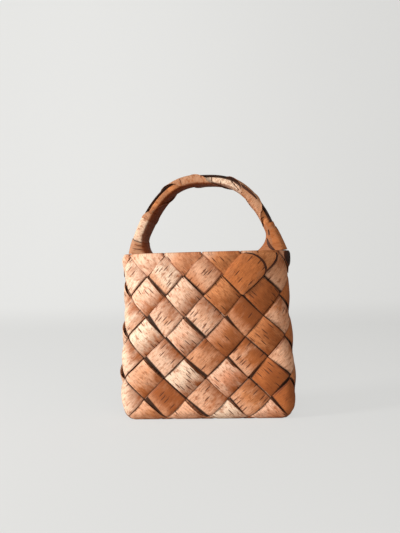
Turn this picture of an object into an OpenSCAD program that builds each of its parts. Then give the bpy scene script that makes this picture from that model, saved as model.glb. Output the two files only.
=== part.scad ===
// Wall basket plaited on the bias from bark strips, with a bark-wrapped hoop handle.
// Ten strips run rim to rim at 45 degrees: down one wall, under the base and up another.
// At the rim each strip folds outwards and lies back down over the plait.
// Frame: origin on the ground under the middle of the base, +Z up, the front faces -Y.

/* [Plait] */
// Pitch of the plait: the width of a strip and the gap beside it
strip_pitch = 29.8; // [22:0.1:38]
// Gap between neighbouring strips
strip_gap = 1.6; // [1.2:0.1:3]
// Thickness of a bark strip
strip_t = 0.9; // [0.5:0.1:1.4]
// Air between two layers of bark that cross
ply_clear = 0.3; // [0.2:0.05:0.5]
// Swell of a strip in the middle of each crossing
crown = 0.4; // [0:0.05:0.8]

/* [Body] */
// Diagonals of the plait from the base to the rim
n_high = 4; // [3:1:6]
// Radius of the folded edges round the base
edge_r = 8; // [5:0.5:12]
// How far the oval rim stands out past each narrow side of the base, or in when less than 0
rim_flare = -1.5; // [-4:0.5:8]
// How far the oval rim stands out past the front and the back of the base
rim_belly = 18; // [6:0.5:26]
// How far the narrow sides swell out at a quarter of the wall's height
low_swell = 4.5; // [0:0.5:8]

/* [Handle] */
// Rise of the hoop's middle line over the rim
arch_rise = 75.5; // [50:0.5:120]
// Squareness of the hoop: 2 is a parabola, more has straighter legs
arch_power = 2.8; // [2:0.1:3.5]
// Inset of the hoop's middle line from the rim at its feet
foot_inset = 7.5; // [6:0.1:14]
// Thickness of the hoop core, in the plane of the hoop
core_t = 8.4; // [6:0.2:12]
// Width of the hoop core, front to back
core_w = 18; // [12:0.5:26]
// Roundness of the hoop's section: 1 is an oval, less is more like a flat band
core_round = 0.75; // [0.7:0.05:1]
// Thickness of the bark on the hoop
bark_t = 0.9; // [0.5:0.1:1.4]
// Air between the layers on the hoop and at its seats
seat_clear = 0.3; // [0.2:0.05:0.5]

/* [Wrapping] */
// Advance of the spiral wrap in one turn
wrap_pitch = 68; // [50:1:90]
// Width of the spiral wrap, measured along the hoop
wrap_w = 31; // [15:1:40]
// Place where the wrap crosses the outside of the hoop, measured along it from its top
wrap_at = -26; // [-40:1:40]
// Half angle of the dark ply along the outside of the hoop
ply_angle = 32; // [20:1:36]

/* [Feet] */
// Height of the left foot sleeve along the hoop
left_foot_h = 37; // [26:1:42]
// How far the mouth of the left foot sleeve spreads towards the middle
left_foot_flare = 9; // [4:0.5:20]
// Height of the right foot sleeve along the hoop
right_foot_h = 29; // [26:1:42]
// How far the mouth of the right foot sleeve spreads towards the middle
right_foot_flare = 19; // [4:0.5:24]
// Length of the part of each sleeve that spreads
foot_spread = 24; // [16:1:26]
// Length of each foot's tail inside the basket
tail_len = 84; // [50:1:100]
// Width of a tail along the wall
tail_w = 26; // [16:1:32]
// Thickness of a tail
tail_t = 2.4; // [1.6:0.1:4]

/* [Hidden] */

// Diagonals of the plait along the front and along a narrow side
n_front = 4;
n_side = 1;

// The plait
diag = strip_pitch * sqrt(2);
half_strip = (strip_pitch - strip_gap) / 2;
layer = strip_t + ply_clear;
base_lift = (layer + strip_t) / 2;

// The box that the plait folds into, and its oval rim
half_x = n_front * diag / 2;
half_y = n_side * diag / 2;
girth = 4 * (half_x + half_y);
rim_z = n_high * diag;
oval_x = half_x + rim_flare;
oval_y = half_y + rim_belly;
oval_k = (oval_x - oval_y) / (oval_x + oval_y);

// Fold over the rim
fold_angles = [45, 90, 135];
fold_rows = len(fold_angles);
rim_top = rim_z + base_lift + 1.5 * layer + strip_t / 2;

// The hoop, in the plane y = 0
arch_x = oval_x - foot_inset;
arch_steps = 60;
core_r = core_t / 2;
core_s = core_w / 2;
ply_in = seat_clear;
ply_out = ply_in + bark_t;
wrap_in = seat_clear;
ring_sides = 16;
wrap_sides = 28;
end_trim = 1;

// Numbers and vectors
function clamp(v, low, high) = min(max(v, low), high);
function unit(v) = v / norm(v);
function ease(t) = let (c = clamp(t, 0, 1)) c * c * (3 - 2 * c);
function mix(a, b, t) = a + (b - a) * t;

// Place on the girth of the sharp box, from the front left corner to the right
function box_xy(u) =
    let (v = u - girth * floor(u / girth), f = 2 * half_x, s = 2 * half_y)
    v < f ? [v - half_x, -half_y] :
    v < f + s ? [half_x, v - f - half_y] :
    v < 2 * f + s ? [half_x + f + s - v, half_y] :
    [-half_x, half_y + 2 * f + s - v];

// Place on the oval rim at the same share of the girth, n outwards
function oval_xy(u, n) =
    let (
        w = 360 * (u - half_x) / girth,
        a = w - oval_k * 90 / PI * sin(2 * w) + oval_k * oval_k * 45 / PI * sin(4 * w)
    )
    [oval_x * sin(a), -oval_y * cos(a)] + n * unit([sin(a) / oval_x, -cos(a) / oval_y]);

// Box with rounded edges: the point for p on the sharp box, n outwards
function rounded(p, n) =
    let (
        q = [
            clamp(p.x, edge_r - half_x, half_x - edge_r),
            clamp(p.y, edge_r - half_y, half_y - edge_r),
            max(p.z, edge_r)
        ]
    )
    q + (edge_r + n) * unit(p - q) + [0, 0, base_lift];

// Widening of the wall at a share h of its height: none at the foot and the rim, most at h = 1/4
function widen(h) = 1 + low_swell / half_x * h * pow(1 - h, 3) * 256 / 27;

// Wall of the basket: a box at the foot that swells low down and turns into the oval at the rim
function wall(u, z, n) =
    let (
        p = box_xy(u),
        box = rounded([p.x, p.y, z], n),
        rim = oval_xy(u, n),
        t = ease(z / rim_z)
    )
    [mix(box.x, rim.x, t) * widen(clamp(z / rim_z, 0, 1)), mix(box.y, rim.y, t), box.z];

// Falling strips have x - y = c on the base, and leave it over these edges
function starts_front(c) = c > half_y - half_x;
function ends_back(c) = c < half_x - half_y;

// Place [u, z] on a wall for a place on the opened net, or [] on the base
function net(x, y, c) =
    starts_front(c) && y <= -half_y ? [x + half_x, -half_y - y] :
    !starts_front(c) && x <= -half_x ? [4 * half_x + 3 * half_y - y, -half_x - x] :
    ends_back(c) && y >= half_y ? [3 * half_x + 2 * half_y - x, y - half_y] :
    !ends_back(c) && x >= half_x ? [2 * half_x + half_y + y, x - half_x] :
    [];

// One plaited strip, whose first crossing at the rim lies over (lay = 1) or under (lay = -1)
module strip(c, lay) {
    first = lay * (starts_front(c) ? 1 : -1);
    start = sqrt(2) * (starts_front(c) ? c / 2 - half_y - rim_z : -c / 2 - half_x - rim_z);
    stop = sqrt(2) * (ends_back(c) ? c / 2 + half_y + rim_z : half_x + rim_z - c / 2);
    cells = round((stop - start) / strip_pitch);
    last = first * (cells % 2 == 0 ? 1 : -1);

    // Lines across the strip: three in each crossing, and one more crossing past an over end
    e0 = first > 0 ? -1 : 0;
    e1 = last > 0 ? cells + 1 : cells;
    lines = 3 * (e1 - e0 + 1);

    // Place of a lattice point on the net, and its height up the unfolded wall
    function sigma(i) = start + (e0 + floor(i / 3)) * strip_pitch + (i % 3 - 1) * half_strip;
    function place(i, j) =
        let (s = sigma(i), t = (j - 1) * half_strip)
        net(c / 2 + (s + t) / sqrt(2), (s - t) / sqrt(2) - c / 2, c);
    function flat(i, j) =
        let (s = sigma(i), t = (j - 1) * half_strip)
        [c / 2 + (s + t) / sqrt(2), (s - t) / sqrt(2) - c / 2, 0];
    function height(i, j) = let (p = place(i, j)) len(p) == 0 ? 0 : p[1];

    // Layer of the strip in the weave, and of its end that lies back over the rim
    function over(e) = e % 2 == 0 ? first : -first;
    function body_n(i) =
        let (e = e0 + floor(i / 3), swell = i % 3 == 1 && e > 0 && e < cells ? crown : 0)
        over(e) * (layer / 2 + swell);
    function back_n(side) = side > 0 ? 1.5 * layer : 2.5 * layer;
    function lying_n(i) =
        let (e = e0 + floor(i / 3), swell = i % 3 == 1 && (e < 0 || e > cells) ? crown : 0)
        back_n(i < lines / 2 ? first : last) + swell;

    // Lattice rows on the rim's fold line, at the first end (0) and at the last end (1)
    function fold_i(end, j) = end == 0
        ? 1 - 3 * e0 + (starts_front(c) ? j - 1 : 1 - j)
        : 1 + 3 * (cells - e0) + (ends_back(c) ? j - 1 : 1 - j);
    function fold_side(end) = end == 0 ? first : last;

    // Point at a place on the wall: turn is the angle of the bark as it folds over the rim
    function bark(p, n, turn, face) =
        let (h = face * strip_t / 2)
        wall(p[0], p[1] - h * sin(turn), n + h * cos(turn));
    function lattice_point(i, j, face) =
        let (p = place(i, j), h = face * strip_t / 2)
        len(p) == 0 ? rounded(flat(i, j), over(e0 + floor(i / 3)) * layer / 2 + h) :
        p[1] > rim_z + strip_gap / 4
            ? bark([p[0], 2 * rim_z - p[1]], lying_n(i), 180, face)
            : bark(p, body_n(i), 0, face);
    function fold_point(end, turn, j, face) =
        let (
            p = place(fold_i(end, j), j),
            inner = fold_side(end) * layer / 2,
            outer = back_n(fold_side(end)),
            r = (outer - inner) / 2
        )
        bark([p[0], rim_z + r * sin(turn)], inner + r * (1 - cos(turn)), turn, face);

    // Numbers of the points: the lattice, then for each end the fold rows and the returned row
    per_end = 3 * (fold_rows + 1);
    count = 3 * lines + 2 * per_end;
    function id(i, j) = 3 * i + j;
    function fold_id(end, row, j) = 3 * lines + end * per_end + 3 * row + j;
    function is_fold(i, j) = i == fold_i(0, j) || i == fold_i(1, j);
    function pick(i, j, back) =
        back && is_fold(i, j) ? fold_id(i == fold_i(0, j) ? 0 : 1, fold_rows, j) : id(i, j);

    function face_points(face) = concat(
        [for (i = [0 : lines - 1]) for (j = [0 : 2]) lattice_point(i, j, face)],
        [
            for (end = [0, 1]) for (row = [0 : fold_rows]) for (j = [0 : 2])
                fold_point(end, row < fold_rows ? fold_angles[row] : 180, j, face)
        ]
    );

    // Triangles of the sheet: each square is cut by the diagonal through its crossing's middle
    function corners(i, j) =
        (i % 3 == 0 && j == 0) || (i % 3 == 1 && j == 1) || i % 3 == 2
            ? [[[i, j], [i + 1, j], [i + 1, j + 1]], [[i, j], [i + 1, j + 1], [i, j + 1]]]
            : [[[i, j], [i + 1, j], [i, j + 1]], [[i + 1, j], [i + 1, j + 1], [i, j + 1]]];
    function is_back(t) =
        (height(t[0][0], t[0][1]) + height(t[1][0], t[1][1]) + height(t[2][0], t[2][1])) / 3 > rim_z;
    function fold_row(end, k) = [
        for (j = [0 : 2])
            k < 0 ? id(fold_i(end, j), j) : fold_id(end, k, j)
    ];
    function quads(a, b) = [for (j = [0, 1]) each [[a[j], b[j], b[j + 1]], [a[j], b[j + 1], a[j + 1]]]];
    sheet = concat(
        [
            for (i = [0 : lines - 2]) for (j = [0, 1]) for (t = corners(i, j))
                [for (v = t) pick(v[0], v[1], is_back(t))]
        ],
        [for (k = [-1 : fold_rows - 1]) each quads(fold_row(0, k + 1), fold_row(0, k))],
        [for (k = [-1 : fold_rows - 1]) each quads(fold_row(1, k), fold_row(1, k + 1))]
    );

    // Long edges and ends of the sheet
    function edge(j) = [
        for (i = [0 : lines - 1]) each
            i == fold_i(0, j) ? [for (k = [fold_rows : -1 : -1]) fold_row(0, k)[j]] :
            i == fold_i(1, j) ? [for (k = [-1 : fold_rows]) fold_row(1, k)[j]] :
            [id(i, j)]
    ];
    function band(a) = [
        for (k = [0 : len(a) - 2]) each
            [[a[k], a[k + 1], a[k + 1] + count], [a[k], a[k + 1] + count, a[k] + count]]
    ];
    function flip(list) = [for (t = list) [t[2], t[1], t[0]]];
    first_end = [for (j = [0 : 2]) pick(0, j, true)];
    last_end = [for (j = [0 : 2]) pick(lines - 1, j, true)];

    polyhedron(
        points = concat(face_points(1), face_points(-1)),
        faces = concat(
            flip(sheet),
            [for (t = sheet) [t[0] + count, t[1] + count, t[2] + count]],
            band(edge(0)),
            flip(band(edge(2))),
            flip(band(first_end)),
            band(last_end)
        ),
        convexity = 10
    );
}

// Strips that fall from left to right on the front: x - y on the base is k diagonals
module falling(k) {
    strip(k * diag, 1);
}

// Strips that rise from left to right are laid the other way, over where those lie under
module rising(k) {
    mirror([1, 0, 0]) strip(k * diag, -1);
}

// Middle line of the hoop at v from -1, the left foot, to 1, with its tangent and its outside
function hoop(v) = [arch_x * v, 0, rim_top + arch_rise * (1 - pow(abs(v), arch_power))];
function hoop_dir(v) =
    unit([arch_x, 0, -sign(v) * arch_rise * arch_power * pow(abs(v), arch_power - 1)]);
function hoop_out(v) = let (d = hoop_dir(v)) [-d.z, 0, d.x];

// Length along the hoop from its top, as a table to look v up in
hoop_table = [
    for (k = 0, s = 0;
        k <= arch_steps;
        k = k + 1, s = s + norm(hoop(k / arch_steps) - hoop((k - 1) / arch_steps)))
        [s, k / arch_steps]
];
hoop_half = hoop_table[arch_steps][0];
function hoop_v(s) = sign(s) * lookup(abs(s), hoop_table);

// Point beside the hoop: a turns from the outside of the hoop to the front, round a squared oval
function squared(v) = sign(v) * pow(abs(v), core_round);
function beside(s, a, out, back, side) =
    let (v = hoop_v(s), r = cos(a) > 0 ? out : back)
    hoop(v) + r * squared(cos(a)) * hoop_out(v) - [0, side * squared(sin(a)), 0];

// Solid through rings of points, and a tube of outer and inner rings
module loft(rings) {
    n = len(rings[0]);
    m = len(rings);
    polyhedron(
        points = [for (r = rings) each r],
        faces = concat(
            [
                for (i = [0 : m - 2]) for (k = [0 : n - 1]) each
                    let (a = i * n + k, b = i * n + (k + 1) % n)
                    [[a, b + n, b], [a, a + n, b + n]]
            ],
            [[for (k = [0 : n - 1]) k], [for (k = [n - 1 : -1 : 0]) (m - 1) * n + k]]
        ),
        convexity = 10
    );
}
module tube(outer, inner) {
    n = len(outer[0]);
    m = len(outer);
    count = n * m;
    points = concat([for (r = outer) each r], [for (r = inner) each r]);
    skin = [
        for (i = [0 : m - 2]) for (k = [0 : n - 1]) each
            let (a = i * n + k, b = i * n + (k + 1) % n)
            [[a, b + n, b], [a, a + n, b + n]]
    ];
    polyhedron(
        points = points,
        faces = concat(
            skin,
            [for (t = skin) [t[2] + count, t[1] + count, t[0] + count]],
            [
                for (k = [0 : n - 1]) each
                    let (a = k, b = (k + 1) % n)
                    [[a, b, b + count], [a, b + count, a + count]]
            ],
            [
                for (k = [0 : n - 1]) each
                    let (a = (m - 1) * n + k, b = (m - 1) * n + (k + 1) % n)
                    [[a, b + count, b], [a, a + count, b + count]]
            ]
        ),
        convexity = 10
    );
}

// Sheet of bark with a front grid and a back grid of points, rows by columns
module slab(front, back) {
    m = len(front);
    n = len(front[0]);
    count = m * n;
    sheet = [
        for (i = [0 : m - 2]) for (k = [0 : n - 2]) each
            let (a = i * n + k)
            [[a, a + n + 1, a + 1], [a, a + n, a + n + 1]]
    ];
    rim = concat(
        [for (k = [0 : n - 2]) k],
        [for (i = [0 : m - 2]) i * n + n - 1],
        [for (k = [n - 1 : -1 : 1]) (m - 1) * n + k],
        [for (i = [m - 1 : -1 : 1]) i * n]
    );
    polyhedron(
        points = concat([for (r = front) each r], [for (r = back) each r]),
        faces = concat(
            sheet,
            [for (t = sheet) [t[2] + count, t[1] + count, t[0] + count]],
            [
                for (k = [0 : len(rim) - 1]) each
                    let (a = rim[k], b = rim[(k + 1) % len(rim)])
                    [[a, b + count, a + count], [a, b, b + count]]
            ]
        ),
        convexity = 10
    );
}

// Ring of a tail at height z, on the chords of a narrow wall, the right (side = 1) or the left (-1)
tail_n = -(layer + strip_t + tail_t) / 2 - crown - seat_clear;
function tail_ring(z, side) = [
    for (k = [0 : ring_sides - 1])
        let (
            a = 360 * k / ring_sides,
            middle = side > 0 ? 2 * half_x + half_y : 4 * half_x + 3 * half_y,
            corner = middle - side * sign(sin(a)) * half_y,
            n = tail_n + tail_t / 2 * cos(a)
        )
        mix(wall(middle, z, n), wall(corner, z, n), abs(sin(a)) * tail_w / 2 / half_y)
];
function core_ring(s) = [
    for (k = [0 : ring_sides - 1]) beside(s, 360 * k / ring_sides, core_r, core_r, core_s)
];

// Hoop with its two tails, from the left tail's end to the right one's
module handle_core() {
    tail_rows = [rim_z - tail_len, rim_z - tail_len / 2, rim_z - tail_len / 6];
    core_rows = 26;
    color("#8a5a34") loft(concat(
        [for (z = tail_rows) tail_ring(z, -1)],
        [for (k = [0 : core_rows]) core_ring(hoop_half * (2 * k / core_rows - 1))],
        [for (k = [2 : -1 : 0]) tail_ring(tail_rows[k], 1)]
    ));
}

// Dark ply along the outside of the hoop, under the wrap and the foot sleeves
module handle_outer_ply() {
    rows = 52;
    columns = 4;
    reach = hoop_half - end_trim;
    function grid(gap) = [
        for (i = [0 : rows]) [
            for (k = [0 : columns])
                beside(
                    reach * (2 * i / rows - 1),
                    ply_angle * (2 * k / columns - 1),
                    core_r + gap, core_r + gap, core_s + gap
                )
        ]
    ];
    color("#2b1a12") slab(grid(ply_out), grid(ply_in));
}

// Point of a layer that goes round the core and its ply, gap past the inside of the wrap
function around(s, a, gap, flare) =
    beside(
        s, a,
        core_r + ply_out + wrap_in + gap,
        core_r + wrap_in + gap + flare,
        core_s + ply_out + wrap_in + gap + flare / 6
    );

// Spiral wrap between the foot sleeves
module handle_wrap() {
    from = left_foot_h - hoop_half + end_trim;
    to = hoop_half - right_foot_h - end_trim;
    turns = (to - from - wrap_w) / wrap_pitch;
    rows = ceil(turns * wrap_sides);
    columns = 5;
    function grid(gap) = [
        for (i = [0 : rows]) [
            let (middle = mix(from, to - wrap_w, i / rows) + wrap_w / 2)
            for (k = [0 : columns])
                around(
                    middle + wrap_w * (k / columns - 1 / 2),
                    360 * (middle - wrap_at) / wrap_pitch, gap, 0
                )
        ]
    ];
    color("#c99a68") slab(grid(0), grid(bark_t));
}

// Sleeve round a foot of the hoop, spreading towards the middle of the basket at its mouth
module foot_sleeve(side, high, flare) {
    rows = ceil(high / 5);
    function spread(t) = flare * pow(max(0, 1 - high * (1 - t) / foot_spread), 2);
    function rings(gap) = [
        for (i = [0 : rows])
            let (t = side > 0 ? i / rows : 1 - i / rows)
            [
                for (k = [0 : ring_sides - 1])
                    around(
                        side * (hoop_half - high * (1 - t)), 360 * k / ring_sides,
                        gap, spread(t)
                    )
            ]
    ];
    tube(rings(bark_t), rings(0));
}
module left_foot_sleeve() {
    color("#b98455") foot_sleeve(-1, left_foot_h, left_foot_flare);
}
module right_foot_sleeve() {
    color("#c39263") foot_sleeve(1, right_foot_h, right_foot_flare);
}

module falling_strip_1() {
    color("#e9c9a4") falling(-2);
}
module falling_strip_2() {
    color("#dd9a62") falling(-1);
}
module falling_strip_3() {
    color("#e6b489") falling(0);
}
module falling_strip_4() {
    color("#f0dcc0") falling(1);
}
module falling_strip_5() {
    color("#e5ac88") falling(2);
}
module rising_strip_1() {
    color("#d9ab7c") rising(-2);
}
module rising_strip_2() {
    color("#b4703f") rising(-1);
}
module rising_strip_3() {
    color("#cf9a70") rising(0);
}
module rising_strip_4() {
    color("#d6a472") rising(1);
}
module rising_strip_5() {
    color("#ecd6b8") rising(2);
}

falling_strip_1();
falling_strip_2();
falling_strip_3();
falling_strip_4();
falling_strip_5();
rising_strip_1();
rising_strip_2();
rising_strip_3();
rising_strip_4();
rising_strip_5();
handle_core();
handle_outer_ply();
handle_wrap();
left_foot_sleeve();
right_foot_sleeve();
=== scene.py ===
"""Wall basket of birch bark: plaited strips, folded rim and wrapped hoop handle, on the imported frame."""
import math

import bpy
import numpy as np
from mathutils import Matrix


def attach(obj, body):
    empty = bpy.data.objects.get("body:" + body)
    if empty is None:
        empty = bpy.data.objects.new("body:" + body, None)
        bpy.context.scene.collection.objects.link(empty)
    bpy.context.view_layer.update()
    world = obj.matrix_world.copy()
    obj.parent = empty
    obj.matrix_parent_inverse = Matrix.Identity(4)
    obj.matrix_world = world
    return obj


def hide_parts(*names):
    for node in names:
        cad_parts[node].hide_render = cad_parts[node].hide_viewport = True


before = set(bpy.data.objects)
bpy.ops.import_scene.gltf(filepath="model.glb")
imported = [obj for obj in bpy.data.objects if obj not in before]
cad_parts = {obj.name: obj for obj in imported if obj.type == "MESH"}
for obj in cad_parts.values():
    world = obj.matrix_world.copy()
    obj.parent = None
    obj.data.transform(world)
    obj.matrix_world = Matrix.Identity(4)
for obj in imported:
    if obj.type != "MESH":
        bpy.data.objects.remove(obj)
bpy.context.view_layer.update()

bl_info = {
    "name": "Wall basket",
    "version": (1, 0, 0),
    "blender": (4, 5, 0),
    "location": "View3D > Sidebar > Basket",
    "description": "Builds a bias-plaited bark basket with a wrapped hoop handle",
    "category": "Object",
}

ROOT = "root"
SQRT2 = math.sqrt(2)

# Names of the grain's layer and of the marks on the meshes, which the bark's skin reads
UV_NAME = "Plait"
INNER_NAME = "Inner side"
TURNED_NAME = "Turned"
PAINTED_SHADE_NAME = "Painted shade"
BLEACH_AND_HIGHLIGHT_NAME = "Bleach and highlight"

# Photograph's frame in pixels, and the pixel column of the basket's middle
PHOTO_WIDTH = 400
PHOTO_HEIGHT = 533
PHOTO_MIDDLE_X = 205.5


def metres(name, description, default):
    """Property that holds a length."""
    return bpy.props.FloatProperty(
        name=name, description=description, default=default, unit="LENGTH", precision=5)


def number(name, description, default):
    """Property that holds a plain number."""
    return bpy.props.FloatProperty(name=name, description=description, default=default)


def degrees(name, description, default):
    """Property that holds an angle."""
    return bpy.props.FloatProperty(
        name=name, description=description, default=math.radians(default), subtype="ANGLE")


def shade(name, description, default):
    """Property that holds a colour, as linear red, green and blue."""
    return bpy.props.FloatVectorProperty(
        name=name, description=description, default=default, subtype="COLOR")


class BarkSettings(bpy.types.PropertyGroup):
    """Colours of the bark, from the palest to the darkest."""

    cream: shade("Cream", "Bleached bark", (0.87, 0.63, 0.45))
    blush: shade("Blush", "Pale bark with a pink cast", (0.84, 0.53, 0.36))
    peach: shade("Peach", "Pale tan bark", (0.79, 0.43, 0.26))
    fox: shade("Fox", "Dull red bark", (0.69, 0.32, 0.165))
    salmon: shade("Salmon", "Clear red bark", (0.70, 0.29, 0.15))
    tan: shade("Tan", "Tan bark", (0.60, 0.225, 0.080))
    fawn: shade("Fawn", "Tan bark of the handle", (0.53, 0.27, 0.150))
    orange: shade("Orange", "Bright brown bark", (0.51, 0.155, 0.040))
    hide: shade("Hide", "Brown bark of the handle", (0.40, 0.165, 0.075))
    brown: shade("Brown", "Brown bark and its stains", (0.33, 0.088, 0.019))
    edge_tint: shade("Edge tint", "Tint along both edges of a strip", (0.30, 0.15, 0.085))
    dusk: shade("Dusk", "Shade on the side of the handle that faces into the loop", (0.20, 0.034, 0.006))
    umber: shade("Umber", "Dashes and cut edges of the bark", (0.10, 0.028, 0.010))
    pitch_brown: shade("Pitch brown", "Outer bark and deep shade", (0.016, 0.006, 0.003))


class PlaitSettings(bpy.types.PropertyGroup):
    """Sizes of the plaited body."""

    pitch: metres("Strip pitch", "Width of a strip and the gap beside it", 0.0298)
    gap: metres("Gap", "Gap between neighbouring strips that fall to the right", 0.0028)
    tight_gap: metres("Tight gap", "Gap between neighbouring strips that rise to the right", 0.0010)
    rim_gap: metres("Rim gap", "Gap between neighbouring strips at the rim", 0.0004)
    thickness: metres("Thickness", "Thickness of a bark strip", 0.0009)
    layer: metres("Layer", "Spacing of two strips that cross", 0.0012)
    pillow: metres("Pillow", "Swell of a strip where it lies over another", 0.0026)
    lift: metres("Edge lift", "Most that a loose edge stands off the plait", 0.0022)
    wander: metres("Wander", "Most that a strip strays sideways from its line", 0.0009)
    rows_high: bpy.props.IntProperty(
        name="Diagonals high", description="Diagonals of the plait from the base to the rim", default=4)
    edge_radius: metres("Base edge radius", "Radius of the folded edges round the base", 0.008)
    rim_flare: metres("Rim flare", "Reach of the rim past each narrow side of the base", -0.0015)
    low_swell: metres("Low swell", "Swell of the narrow sides at a quarter of the wall's height", 0.0035)
    rim_belly: metres("Rim belly", "Reach of the rim past the front and the back of the base", 0.018)
    fold_lap: metres("Fold lap", "How far the upper folds of the rim lap over their neighbours", 0.0018)


class HandleSettings(bpy.types.PropertyGroup):
    """Sizes of the hoop handle."""

    rise: metres("Rise", "Rise of the hoop's middle line over the rim", 0.0742)
    power: number("Squareness", "Two is a parabola, more has straighter legs", 2.8)
    inset: metres("Foot inset", "Inset of the hoop's middle line from the rim", 0.0075)
    core_thickness: metres("Core thickness", "Thickness of the core in the plane of the hoop", 0.0086)
    core_width: metres("Core width", "Width of the core from front to back", 0.018)
    roundness: number("Roundness", "One is an oval section, less is more like a flat band", 0.62)
    sway: metres("Sway", "How far the arch stands to the right of the basket's middle", 0.0025)
    lean: number("Band lean", "How far in the back of the left leg lies, for each unit of its width", 0.30)
    foot_level: number("Foot level", "Turn of each foot's mouth: 0 is square to the hoop, 1 is level", 0.75)
    spread: metres("Foot spread", "Length of the part of each foot sleeve that spreads", 0.024)
    bark: metres("Bark thickness", "Thickness of the bark wound on the hoop", 0.0006)
    ply: metres("Ply thickness", "Thickness of the dark ply along the outside of the hoop", 0.0018)
    clear: metres("Clearance", "Air between the layers on the hoop", 0.0001)
    wrap_pitch: metres("Wrap pitch", "Advance of the spiral wrap in one turn", 0.0695)
    wrap_width: metres("Wrap width", "Width of the spiral wrap along the hoop", 0.031)
    wrap_at: metres("Wrap place", "Where the wrap crosses the outside of the hoop, from its top", -0.0315)
    tail_length: metres("Tail length", "Length of each tail inside the basket", 0.084)
    tail_width: metres("Tail width", "Width of a tail along the wall", 0.026)
    tail_thickness: metres("Tail thickness", "Thickness of a tail", 0.0024)


class StageSettings(bpy.types.PropertyGroup):
    """Camera, lights and ground."""

    azimuth: degrees("Azimuth", "Turn of the camera towards the basket's right side", 5)
    roll: degrees("Roll", "Roll of the camera about its line of sight", 1.5)
    eye_height: metres("Eye height", "Height of the camera over the ground", 0.157)
    distance: metres("Distance", "Distance of the camera from the basket's front", 0.80)
    pixel: metres("Pixel size", "Size of a photograph pixel at the basket's front", 0.001)
    ground_colour: shade("Ground colour", "Colour of the floor and the backdrop", (0.55, 0.55, 0.54))


def smoothstep(low, high, value):
    """Cubic ease: 0 below low, 1 above high, with level ends."""
    t = np.clip((value - low) / (high - low), 0.0, 1.0)
    return t * t * (3.0 - 2.0 * t)


def mix(a, b, t):
    """Straight blend from a to b by t."""
    return a + (b - a) * t


def unit_rows(vectors):
    """Each vector divided by its own length."""
    return vectors / np.linalg.norm(vectors, axis=-1, keepdims=True)


class Shell:
    """Surface that the plait lies on: a rounded box at the foot that turns into an oval at the rim."""

    front_diagonals = 4
    side_diagonals = 1

    def __init__(self, sizes):
        self.pitch = sizes.pitch
        self.diag = sizes.pitch * SQRT2
        self.half_x = self.front_diagonals * self.diag / 2
        self.half_y = self.side_diagonals * self.diag / 2
        self.girth = 4 * (self.half_x + self.half_y)
        self.rim_z = sizes.rows_high * self.diag
        self.radius = sizes.edge_radius
        self.oval_x = self.half_x + sizes.rim_flare
        self.oval_y = self.half_y + sizes.rim_belly
        self.lift = (sizes.layer + sizes.thickness) / 2
        self.low_swell = sizes.low_swell

    def box_xy(self, u):
        """Walk u along the girth of the sharp box from the front left corner to the right."""
        front, side = 2 * self.half_x, 2 * self.half_y
        v = np.mod(u, self.girth)
        on = [v < front, v < front + side, v < 2 * front + side]
        walls_x = [v - self.half_x, self.half_x + 0 * v, self.half_x + front + side - v]
        walls_y = [-self.half_y + 0 * v, v - front - self.half_y, self.half_y + 0 * v]
        x = np.select(on, walls_x, -self.half_x)
        y = np.select(on, walls_y, self.half_y + 2 * front + side - v)
        return x, y

    def oval_xy(self, u, n):
        """Ellipse walked at an even pace by a two-term series for its angle, plus n along its normal."""
        k = (self.oval_x - self.oval_y) / (self.oval_x + self.oval_y)
        w = 2 * np.pi * (u - self.half_x) / self.girth
        a = w - k / 2 * np.sin(2 * w) + k * k / 4 * np.sin(4 * w)
        nx, ny = np.sin(a) / self.oval_x, -np.cos(a) / self.oval_y
        size = np.hypot(nx, ny)
        return self.oval_x * np.sin(a) + n * nx / size, -self.oval_y * np.cos(a) + n * ny / size

    def rounded(self, x, y, z, n):
        """Point of the sharp box pulled on to a box with round edges, then n outwards."""
        r = self.radius
        p = np.stack([x, y, z], axis=-1)
        q = np.stack([
            np.clip(x, r - self.half_x, self.half_x - r),
            np.clip(y, r - self.half_y, self.half_y - r),
            np.maximum(z, r),
        ], axis=-1)
        point = q + (r + n)[..., None] * unit_rows(p - q)
        point[..., 2] += self.lift
        return point

    def wall(self, u, z, n):
        """Wall at girth u and height z: the rounded box blended into the oval as z nears the rim.

        Across, it is widened by h times the cube of 1 - h, which is most at a quarter of the height.
        """
        x, y = self.box_xy(u)
        point = self.rounded(x, y, z, n)
        oval_x, oval_y = self.oval_xy(u, n)
        t = smoothstep(0.0, self.rim_z, z)
        h = np.clip(z / self.rim_z, 0.0, 1.0)
        widen = 1 + self.low_swell / self.half_x * h * (1 - h) ** 3 * 256 / 27
        point[..., 0] = mix(point[..., 0], oval_x, t) * widen
        point[..., 1] = mix(point[..., 1], oval_y, t)
        return point


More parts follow.
